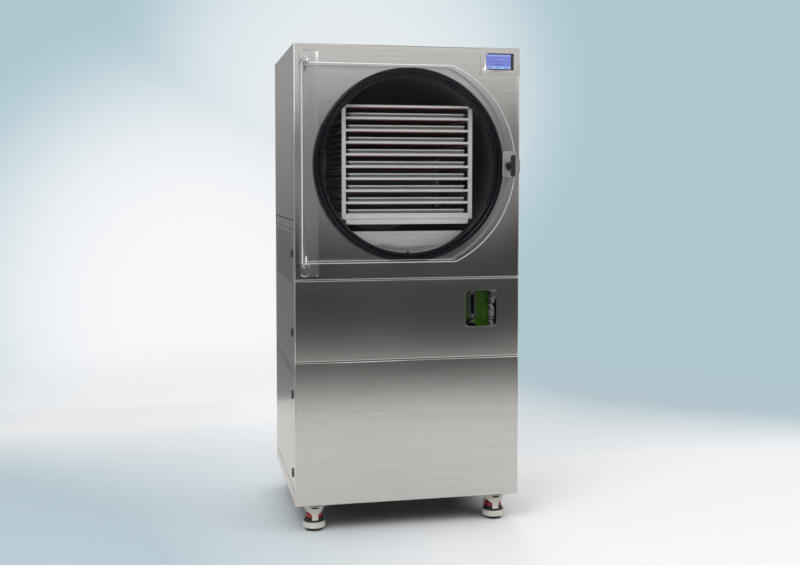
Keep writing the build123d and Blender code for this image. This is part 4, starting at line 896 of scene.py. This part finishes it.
class FREEZEDRYER_OT_rack(Job):
    """Shelf rack, heater mats and trays"""

    bl_idname = "freeze_dryer.rack"
    bl_label = "Rack and trays"

    def execute(self, context):
        chamber = settings(context, "chamber")
        satin = surface("Satin aluminium", chamber.shelf, 0.0, 0.42,
                        ((0.003, (50, 1, 1), 2.0), 0.04), ((0.02, EVEN, 3.0, 2.0), 0.36, 0.5))
        posts = surface("Anodised posts", chamber.shelf, 0.35, 0.36,
                        ((0.003, (1, 1, 50), 2.0), 0.04), ((0.02, EVEN, 3.0, 5.0), 0.3, 0.44))
        eased("rack_frame", "cabinet", posts, "rack_aluminium", 1.2 * MM,
              z=[(1063.9, 1082.0), (1100.0, 1100.0), (1481.0, 1487.0)])

        mat = Finish("Silicone heater mat", chamber.heater, 0.0, 0.5)
        mat.shade(mat.noise(0.012, detail=3.0), 0.15)
        weave = mat.add("TexWave", Vector=mat.place(), Scale=120.0)
        mat.relief(weave.outputs["Fac"], 0.00015)

        tray = surface("Pressed tray sheet", chamber.tray, 1.0, 0.3,
                       ((0.004, (40, 1, 1), 2.0), 0.03), ((0.03, EVEN, 3.0, 8.0), 0.36, 0.4))
        # Painted highlight: the rolled rim of the steel trays is near white and not metal, for the
        # light it catches.
        rim = surface("Tray rim painted highlight", (0.95, 0.94, 0.92), 0.0, 0.3,
                      ((0.006, (20, 20, 1), 2.0), 0.04))
        self.shelves(chamber, satin)
        self.mats(chamber, mat.material)
        self.trays(chamber, tray, rim)
        return {"FINISHED"}

    def levels(self, chamber):
        """Height of each shelf's top face, from the top one down."""
        return [chamber.top_shelf - i * chamber.shelf_pitch for i in range(SHELF_COUNT)]

    def shelves(self, chamber, material):
        """Extruded shelves; the lowest has a deep front edge."""
        low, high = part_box("shelves")
        made = Builder()
        levels = self.levels(chamber)
        for top in levels:
            made.block((low.x, low.y, top - chamber.shelf_thickness), (high.x, high.y, top))
        bottom = levels[-1] - chamber.shelf_thickness
        for front, back, under, over in ((0.4, 3.0, -10.0, 1.0), (3.2, 6.0, -29.5, -8.0)):
            made.block((low.x, low.y + front * MM, bottom + under * MM),
                       (high.x, low.y + back * MM, bottom + over * MM))
        made.finish("rack_shelves", "cabinet", [material], "shelf_aluminium", 0.9 * MM,
                    stands_for=("shelves",))

    def mats(self, chamber, material):
        """A heater mat bonded under each shelf."""
        low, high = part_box("heater_pads")
        made = Builder()
        for top in self.levels(chamber):
            under = top - chamber.shelf_thickness
            made.block((low.x, low.y, under - 2.4 * MM), (high.x, high.y, under))
        made.finish("heater_mats", "cabinet", [material], "heater_silicone", 0.5 * MM,
                    stands_for=("heater_pads",))

    def trays(self, chamber, material, rim_highlight_material):
        """Pressed trays with a floor, sloping walls and a rolled rim in painted highlight."""
        low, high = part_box("trays")
        wall, slope, corner, rim = 1.2 * MM, 2.0 * MM, 14.0 * MM, 2.1 * MM
        made = Builder()

        def outline(inset, z):
            flat = rounded((low.x + inset, low.y + inset), (high.x - inset, high.y - inset),
                           corner - inset)
            return [(x, y, z) for x, y in flat]

        for floor in self.levels(chamber)[1:]:
            edge = floor + chamber.tray_height - rim
            rings = [outline(rim + slope, floor + 0.1 * MM), outline(rim, edge),
                     outline(rim + wall, edge), outline(rim + slope + wall, floor + wall)]
            for near, far in zip(rings, rings[1:]):
                made.band(near, far)
            made.face(rings[0][::-1])
            made.face(rings[-1])
            made.tube(outline(rim, edge), rim, 1)
        made.finish("pressed_trays", "cabinet", [material, rim_highlight_material], "tray_steel",
                    stands_for=("trays",))


# ---------------------------------------------------------------------- door
def clear_sheet(door):
    """Clear sheet: lets light through and mirrors a little."""
    finish = Finish("Clear door sheet", door.edge, 0.0, 0.12)
    wave = finish.noise(0.18, (1, 1, 3), 1.0)
    bump = finish.add("Bump", Height=wave, Distance=0.002).outputs[0]
    gloss = finish.add("BsdfGlossy", Color=(1, 1, 1, 1), Roughness=0.02, Normal=bump)
    clear = finish.add("BsdfTransparent", Color=(*door.clear, 1))
    fresnel = finish.add("Fresnel", IOR=1.49, Normal=bump)
    share = finish.math("MULTIPLY", fresnel.outputs[0], door.gloss)
    finish.feed(finish.out, finish.blend(share, clear.outputs[0], gloss.outputs[0]))
    return finish.material


def highlight_edge_sheet(name, door, cover):
    """Painted highlight on the cut and polished edge of the clear sheet: a near-white colour that hides
    this share of what is behind.
    """
    finish = Finish(name, door.edge, 0.0, 0.15)
    finish.shade(finish.noise(0.02, (1, 1, 4), 2.0), 0.06)
    clear = finish.add("BsdfTransparent", Color=(*door.clear, 1)).outputs[0]
    finish.feed(finish.out, finish.blend(cover, clear, finish.shader.outputs[0]))
    return finish.material


class FREEZEDRYER_OT_door(Job):
    """Clear door and its hinges"""

    bl_idname = "freeze_dryer.door"
    bl_label = "Door and hinges"

    def execute(self, context):
        door = settings(context, "door")
        self.sheet(door)
        plate = brushed("Satin hinge sheet", (0.66, 0.655, 0.645), 0.22, "Z")
        bright = surface("Bright pin steel", (0.78, 0.78, 0.78), 1.0, 0.12,
                         ((0.004, EVEN, 2.0), 0.05), ((0.01, EVEN, 2.0, 3.0), 0.08, 0.2))
        brackets = [(1000.0, 1008.7), (1600.0, 1601.2)]
        eased("hinge_plate", "cabinet", plate, "hinge_steel", 0.8 * MM,
              z=[(899.0, 903.5), (1678.0, 1678.0)])
        eased("latch_keeper", "cabinet", plate, "hinge_steel", 0.8 * MM)
        eased("hinge_brackets", "cabinet", plate, "hinge_steel", 0.8 * MM, 3, z=brackets)
        eased("hinge_pins", "cabinet", bright, "bright_steel", 0.5 * MM, z=brackets)
        self.screws(bright)
        return {"FINISHED"}

    def outline(self, door, inset):
        """Door's outline as (x, z) points: straight left, top and bottom, and a round right side."""
        radius = door.arc_radius - inset
        left, low, high = door.left + inset, door.bottom + inset, door.top - inset
        first, last = (math.degrees(math.asin((z - door.arc_centre) / radius)) for z in (low, high))
        return [(left, low), *arc((0.0, door.arc_centre), radius, first, last, 72), (left, high)]

    def sheet(self, door):
        """The clear sheet, with polished edges and bevels in painted highlight, and a painted highlight
        line along its top and bottom.
        """
        low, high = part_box("door_panel")
        bevel, band, groove = 3.0 * MM, 9.0 * MM, 1.0 * MM
        made = Builder()
        back, side, front, inner, line = (
            [(x, y, z) for x, z in self.outline(door, inset)]
            for y, inset in ((high.y, 0.0), (low.y + bevel, 0.0), (low.y, bevel), (low.y, band),
                             (low.y + 0.3 * MM, band + groove)))
        made.face(back)
        made.band(back, side, False, 1)
        made.band(side, front, False, 2)
        made.band(front, inner, False)
        # Painted highlight: the level stretches of the shallow line along the top and bottom take the
        # near-white line material.
        for i, here in enumerate(inner):
            j = (i + 1) % len(inner)
            level = abs(here[2] - inner[j][2]) < 0.001 * MM
            made.face((here, inner[j], line[j], line[i]), False, 3 if level else 0)
        made.face(line)
        made.finish("clear_door", "door",
                    [clear_sheet(door), highlight_edge_sheet("Door edge painted highlight", door, door.edge_highlight_cover),
                     highlight_edge_sheet("Door bevel painted highlight", door, 1.0), highlight_edge_sheet("Door line painted highlight", door, 0.9)],
                    "clear_door", stands_for=("door_panel",))

    def screws(self, material):
        """Socket screws on the hinge brackets."""
        low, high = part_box("hinge_plate")
        made = Builder()
        centre = (low.x + high.x) / 2 - 14.5 * MM
        for z in (1.6650, 0.9155):
            made.lathe((centre, low.y, z), (0, -1, 0),
                       mm((0.0, 7.0), (3.2, 7.0), (4.4, 6.0), (4.4, 3.4), (1.4, 3.2)), 28)
        made.finish("hinge_screws", "cabinet", [material], "bright_steel")


class FREEZEDRYER_OT_latch(Job):
    """Latch block and quarter-turn handle"""

    bl_idname = "freeze_dryer.latch"
    bl_label = "Latch"

    def execute(self, context):
        block = moulded("Clear-grey latch block", (0.34, 0.34, 0.335), 0.3)
        eased("latch_block", "door", block, "latch_block", 1.2 * MM, 3,
              x=[(333, 325), (381, 375)], z=[(1239, 1244.5), (1327, 1334)])
        handle = moulded("Moulded handle", settings(context, "door").handle, 0.38,
                         Coat_Weight=0.2, Coat_Roughness=0.2)
        eased("latch_handle", "latch", handle, "black_plastic", 2.5 * MM, 4)
        return {"FINISHED"}


# -------------------------------------------------------------------- screen
def lit(name, colour, glow):
    """A lit patch of the display."""
    return surface(name, tuple(0.3 * c for c in colour), 0.0, 0.15,
                   rough=((0.01, EVEN, 2.0), 0.1, 0.2),
                   Emission_Color=(*colour, 1), Emission_Strength=glow)


class FREEZEDRYER_OT_screen(Job):
    """Lit display in its raised plate"""

    bl_idname = "freeze_dryer.screen"
    bl_label = "Display"

    def execute(self, context):
        screen = settings(context, "screen")
        glass = surface("Display glass", (0.006, 0.006, 0.009), 0.0, 0.1,
                        rough=((0.01, EVEN, 2.0), 0.06, 0.16), Coat_Weight=0.6,
                        Coat_Roughness=0.03)
        paint("touch_screen", glass, "screen_glass")
        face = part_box("touch_screen")[0].y
        made = Builder()
        # Shares of the display's width and height, then how many layers proud, and the slot.
        for x0, z0, x1, z1, layer, slot in (
                (0.015, 0.02, 0.945, 0.96, 1, 0), (0.030, 0.04, 0.930, 0.19, 2, 1),
                (0.030, 0.85, 0.930, 0.94, 2, 3), (0.32, 0.29, 0.66, 0.34, 2, 2),
                (0.20, 0.46, 0.34, 0.50, 2, 2), (0.38, 0.46, 0.58, 0.50, 2, 2),
                (0.40, 0.62, 0.78, 0.65, 2, 3), (0.06, 0.08, 0.24, 0.15, 3, 0),
                (0.36, 0.08, 0.54, 0.15, 3, 0), (0.68, 0.08, 0.86, 0.15, 3, 0)):
            made.block((screen.left + x0 * screen.width, face - 0.12 * layer * MM,
                        screen.bottom + z0 * screen.height),
                       (screen.left + x1 * screen.width, face + 0.1 * MM,
                        screen.bottom + z1 * screen.height), slot)
        made.finish("display_content", "cabinet",
                    [lit("Display field", screen.field, screen.glow),
                     lit("Display bars", screen.bar, screen.glow),
                     lit("Display lines", screen.line, screen.glow),
                     lit("Display header", screen.header, screen.glow)], "screen_glass")
        return {"FINISHED"}


# ---------------------------------------------------------------------- pump
class FREEZEDRYER_OT_pump(Job):
    """Vacuum pump behind the window"""

    bl_idname = "freeze_dryer.pump"
    bl_label = "Vacuum pump"

    def execute(self, context):
        pump = settings(context, "pump")
        enamel = cast_metal("Green enamel", pump.paint, 0.28, 0.003, 0.0002,
                            Coat_Weight=0.5, Coat_Roughness=0.15)
        plate = cast_metal("Sight plate grey", pump.plate, 0.4, 0.0015, 0.00008)
        dark = moulded("Dark oil glass", (0.008, 0.008, 0.009), 0.15)
        screw = surface("Screw steel", (0.55, 0.55, 0.55), 1.0, 0.25, ((0.003, EVEN, 2.0), 0.06))
        eased("vacuum_pump", "cabinet", enamel, "pump_paint", 2.0 * MM, 3,
              x=[(208, 214), (292, 308)], z=[(599, 599), (844, 856)])
        eased("pump_sight_plate", "cabinet", plate, "sight_plate", 1.0 * MM, 3,
              x=[(215, 234), (246, 264)], z=[(728, 734), (840, 846)])
        self.details(enamel, dark, screw)
        fins = cast_metal("Machined fins", pump.fins, 0.38, 0.002, 0.00006)
        self.motor(fins, dark)
        return {"FINISHED"}

    def details(self, enamel, dark, screw):
        """Sight glass, screws, cast ribs and the drain knob."""
        made = Builder()
        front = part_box("pump_sight_plate")[0].y
        middle, glass_low, glass_high, half = 0.2490, 0.757, 0.814, 0.0065
        run = arc((middle, glass_high), half, 0, 180, 24)
        run += arc((middle, glass_low), half, 180, 360, 24)
        made.prism([(x, front - 0.6 * MM, z) for x, z in run], (0, 1.2 * MM, 0))
        made.lathe((0.242, front + 4 * MM, 0.712), (0, -1, 0),
                   mm((0.0, 19.0), (6.0, 19.0), (13.0, 16.5), (15.5, 12.0), (16.0, 6.0),
                      (16.0, 0.0)), 36)
        made.finish("pump_sight_glass", "cabinet", [dark], "sight_plate", 0.4 * MM)
        heads = Builder()
        for z in (0.831, 0.741):
            heads.lathe((middle, front, z), (0, -1, 0),
                        mm((0.0, 3.4), (1.6, 3.4), (2.2, 2.6), (2.2, 1.5), (0.8, 1.4)), 20)
        heads.finish("pump_plate_screws", "cabinet", [screw], "sight_plate")
        ribs = Builder()
        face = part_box("vacuum_pump")[0].y
        ribs.block((0.2725, face - 5 * MM, 0.640), (0.2750, face + 1 * MM, 0.852))
        pitch, thick = 9.4 * MM, 3.2 * MM
        for i in range(22):
            z = 0.645 + pitch * i
            ribs.block((0.2780, face - 2.5 * MM, z), (0.3050, face + 1 * MM, z + thick))
        ribs.finish("pump_cast_ribs", "cabinet", [enamel], "pump_paint", 0.8 * MM)

    def motor(self, fins, dark):
        """Motor with a dark core and slanting cooling fins."""
        eased("pump_motor", "cabinet", dark, "motor_black", 1.0 * MM,
              x=[(292.3, 316.0), (344.3, 350.0)])
        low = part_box("pump_motor")[0]
        made = Builder()
        slope, thick, pitch = 0.46, 3.6 * MM, 8.2 * MM
        right, y, depth, uneven = 0.3560, low.y + 2 * MM, 90 * MM, 4.5 * MM
        for i in range(24):
            z = 0.668 + pitch * i
            left = 0.3095 + uneven * abs(math.sin(0.9 * i))
            drop = slope * (right - left)
            made.prism([(left, y, z), (left, y, z + thick), (right, y, z + thick - drop),
                        (right, y, z - drop)], (0, depth, 0))
        made.finish("motor_cooling_fins", "cabinet", [fins], "motor_aluminium", 0.6 * MM)


# ------------------------------------------------------------ cooling, rear
class FREEZEDRYER_OT_cooling(Job):
    """Compressor, condenser and fan"""

    bl_idname = "freeze_dryer.cooling"
    bl_label = "Cooling"

    def execute(self, context):
        black = cast_metal("Compressor enamel", (0.014, 0.014, 0.015), 0.25, 0.003, 0.0001,
                           Coat_Weight=0.4, Coat_Roughness=0.12)
        paint("compressor", black, "compressor_paint")
        mill = surface("Mill aluminium", (0.62, 0.63, 0.64), 1.0, 0.4,
                       ((0.004, (1, 1, 40), 2.0), 0.06), ((0.02, EVEN, 3.0, 2.0), 0.32, 0.5),
                       ((0.0018, (1, 60, 60), 1.0), 0.0003))
        paint("condenser", mill, "condenser_aluminium")
        paint("fan", moulded("Fan moulding", (0.02, 0.02, 0.021), 0.5), "fan_plastic")
        paint("fan_motor", cast_metal("Motor enamel", (0.02, 0.02, 0.022), 0.4), "motor_black")
        return {"FINISHED"}


class FREEZEDRYER_OT_rear_fittings(Job):
    """Drain valve, mains inlet and switch"""

    bl_idname = "freeze_dryer.rear_fittings"
    bl_label = "Rear fittings"

    def execute(self, context):
        brass = surface("Turned brass", (0.62, 0.45, 0.19), 1.0, 0.24,
                        ((0.006, EVEN, 3.0), 0.1), ((0.003, (1, 20, 1), 2.0, 4.0), 0.18, 0.34))
        paint("drain_valve", brass, "brass")
        paint("drain_lever", moulded("Dipped lever", (0.42, 0.015, 0.012), 0.35), "lever_paint")
        paint("power_inlet", moulded("Inlet moulding", (0.015, 0.015, 0.016), 0.42),
              "black_plastic")
        paint("power_switch", moulded("Rocker moulding", (0.02, 0.02, 0.021), 0.3),
              "switch_plastic")
        return {"FINISHED"}


# ------------------------------------------------------------------- casters
class FREEZEDRYER_OT_casters(Job):
    """Levelling casters"""

    bl_idname = "freeze_dryer.casters"
    bl_label = "Casters"

    def execute(self, context):
        casters = settings(context, "casters")
        ivory = cast_metal("Ivory enamel", casters.ivory, 0.35, 0.003, 0.00015,
                           Coat_Weight=0.3, Coat_Roughness=0.2)
        zinc = cast_metal("Zinc plate", (0.72, 0.70, 0.66), 0.4, 0.002, 0.00005, metallic=0.5)
        red = moulded("Red dial moulding", casters.dial, 0.32, Coat_Weight=0.3)
        pad = moulded("Pad rubber", casters.pad, 0.6)
        nylon = moulded("Wheel nylon", (0.02, 0.02, 0.021), 0.45)
        steel = surface("Bolt steel", (0.60, 0.59, 0.57), 1.0, 0.3, ((0.004, EVEN, 2.0), 0.06))
        eased("caster_plates", "cabinet", zinc, "caster_zinc", 0.8 * MM)
        bolts = Builder()
        for corner in CORNERS:
            name = f"caster_{corner}"
            eased(f"caster_housing_{corner}", name, ivory, "caster_ivory", 1.2 * MM, 3)
            paint(f"caster_dial_{corner}", red, "dial_red")
            paint(f"caster_foot_{corner}", pad, "foot_rubber")
            self.liner(corner, pad)
            # Painted shade: a near-black band on the crown.
            self.recess(corner, pad)
            self.wheel(corner, nylon)
            self.bolts(bolts, corner)
        bolts.finish("caster_bolts", "cabinet", [steel], "caster_zinc")
        return {"FINISHED"}

    def centre(self, corner):
        """The foot's axis, on the floor."""
        low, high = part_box(f"caster_dial_{corner}")
        return Vector(((low.x + high.x) / 2, (low.y + high.y) / 2, 0.0))

    def liner(self, corner, material):
        """Dark flared sleeve under the dial."""
        made = Builder()
        loop = mm((45.5, 29.2), (45.5, 31.0), (40.0, 32.2), (33.0, 36.6), (31.0, 36.6),
                  (31.0, 29.2))
        made.ring(self.centre(corner), (0, 0, 1), loop, 56)
        made.finish(f"caster_liner_{corner}", f"caster_{corner}", [material], "foot_rubber")

    def recess(self, corner, material):
        """Painted shade on the crown: a thin near-black band, just proud of it, for the shadowed gap
        under the top plate.
        """
        made = Builder()
        centre = self.centre(corner)
        radius, reach, half = 35.6 * MM, 26.0, 2.9 * MM
        middle, outside, inside = 83.0 * MM, radius + 0.25 * MM, radius - 0.6 * MM
        rows = []
        for i in range(1, 14):
            share = 2 * i / 14 - 1
            turn = math.radians(-90 + reach * share)
            tall = half * math.sqrt(1 - share ** 4)
            rows.append([centre + Vector((out * math.cos(turn), out * math.sin(turn), z))
                         for out, z in ((outside, middle - tall), (outside, middle + tall),
                                        (inside, middle + tall), (inside, middle - tall))])
        for near, far in zip(rows, rows[1:]):
            made.band(near, far)
        made.face(rows[0])
        made.face(rows[-1])
        made.finish(f"caster_painted_shade_{corner}", f"caster_{corner}", [material], "caster_ivory")

    def wheel(self, corner, nylon):
        """Turned wheel with a crowned tread, a web, ribs and a hub."""
        low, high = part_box(f"caster_wheel_{corner}")
        middle = (low + high) / 2
        radius = (high.z - low.z) / 2
        half = (high.x - low.x) / 2
        made = Builder()
        tread = rounded((-half, 0.60 * radius), (half, radius), 4.0 * MM, 6)
        made.ring(middle, (1, 0, 0), tread, 64)
        thin, inner, outer = 0.35 * half, 0.3 * radius, 0.64 * radius
        web = [(-thin, inner), (thin, inner), (thin, outer), (-thin, outer)]
        made.ring(middle, (1, 0, 0), web, 64)
        hub = rounded((-half, 4.2 * MM), (half, 0.34 * radius), 1.0 * MM, 3)
        made.ring(middle, (1, 0, 0), hub, 40)
        for i in range(6):
            turn = math.radians(60 * i)
            way = Vector((0, math.cos(turn), math.sin(turn)))
            side = Vector((0, -math.sin(turn), math.cos(turn))) * 1.2 * MM
            push = Vector((1.5 * half, 0, 0))
            start = middle - push / 2 + way * inner
            end = middle - push / 2 + way * (0.63 * radius)
            made.prism([start - side, end - side, end + side, start + side], push)
        made.finish(f"turned_wheel_{corner}", f"wheel_{corner}", [nylon], "wheel_nylon",
                    stands_for=(f"caster_wheel_{corner}",))

    def bolts(self, made, corner):
        """Four hexagon bolts up into the base."""
        centre = self.centre(corner)
        apart = 33 * MM
        for x in (-apart, apart):
            for y in (-apart, apart):
                for top, profile, sides in (
                        (95.0, mm((0.0, 6.5), (1.0, 6.5)), 24),
                        (94.0, mm((0.0, 5.4), (3.4, 5.4), (4.0, 4.7)), 6)):
                    made.lathe(centre + Vector((x, y, top * MM)), (0, 0, -1), profile, sides)


# --------------------------------------------------------------------- panel
OPERATORS = (
    FREEZEDRYER_OT_stage,
    FREEZEDRYER_OT_cabinet,
    FREEZEDRYER_OT_side_vents,
    FREEZEDRYER_OT_fasteners,
    FREEZEDRYER_OT_chamber,
    FREEZEDRYER_OT_rack,
    FREEZEDRYER_OT_door,
    FREEZEDRYER_OT_latch,
    FREEZEDRYER_OT_screen,
    FREEZEDRYER_OT_pump,
    FREEZEDRYER_OT_cooling,
    FREEZEDRYER_OT_rear_fittings,
    FREEZEDRYER_OT_casters,
)


class FREEZEDRYER_PT_finish(bpy.types.Panel):
    """Lists the settings and the operators"""

    bl_label = "Freeze dryer"
    bl_idname = "FREEZEDRYER_PT_finish"
    bl_space_type = "VIEW_3D"
    bl_region_type = "UI"
    bl_category = "Freeze dryer"

    def draw(self, context):
        for name, group in GROUPS.items():
            box = self.layout.box()
            box.label(text=group.__doc__)
            kept = settings(context, name)
            for field in group.__annotations__:
                box.prop(kept, field)
        column = self.layout.column()
        for operator in OPERATORS:
            column.operator(operator.bl_idname)


def register():
    """Registers the settings, the operators and the panel."""
    for name, group in GROUPS.items():
        bpy.utils.register_class(group)
        setattr(bpy.types.Scene, f"freeze_dryer_{name}", PointerProperty(type=group))
    for operator in OPERATORS:
        bpy.utils.register_class(operator)
    bpy.utils.register_class(FREEZEDRYER_PT_finish)


def unregister():
    """Takes everything off again."""
    bpy.utils.unregister_class(FREEZEDRYER_PT_finish)
    for operator in reversed(OPERATORS):
        bpy.utils.unregister_class(operator)
    for name, group in GROUPS.items():
        delattr(bpy.types.Scene, f"freeze_dryer_{name}")
        bpy.utils.unregister_class(group)


def main():
    """Builds every piece in order."""
    register()
    for operator in OPERATORS:
        category, name = operator.bl_idname.split(".")
        getattr(getattr(bpy.ops, category), name)()
    bpy.context.view_layer.update()


if __name__ == "__main__":
    main()
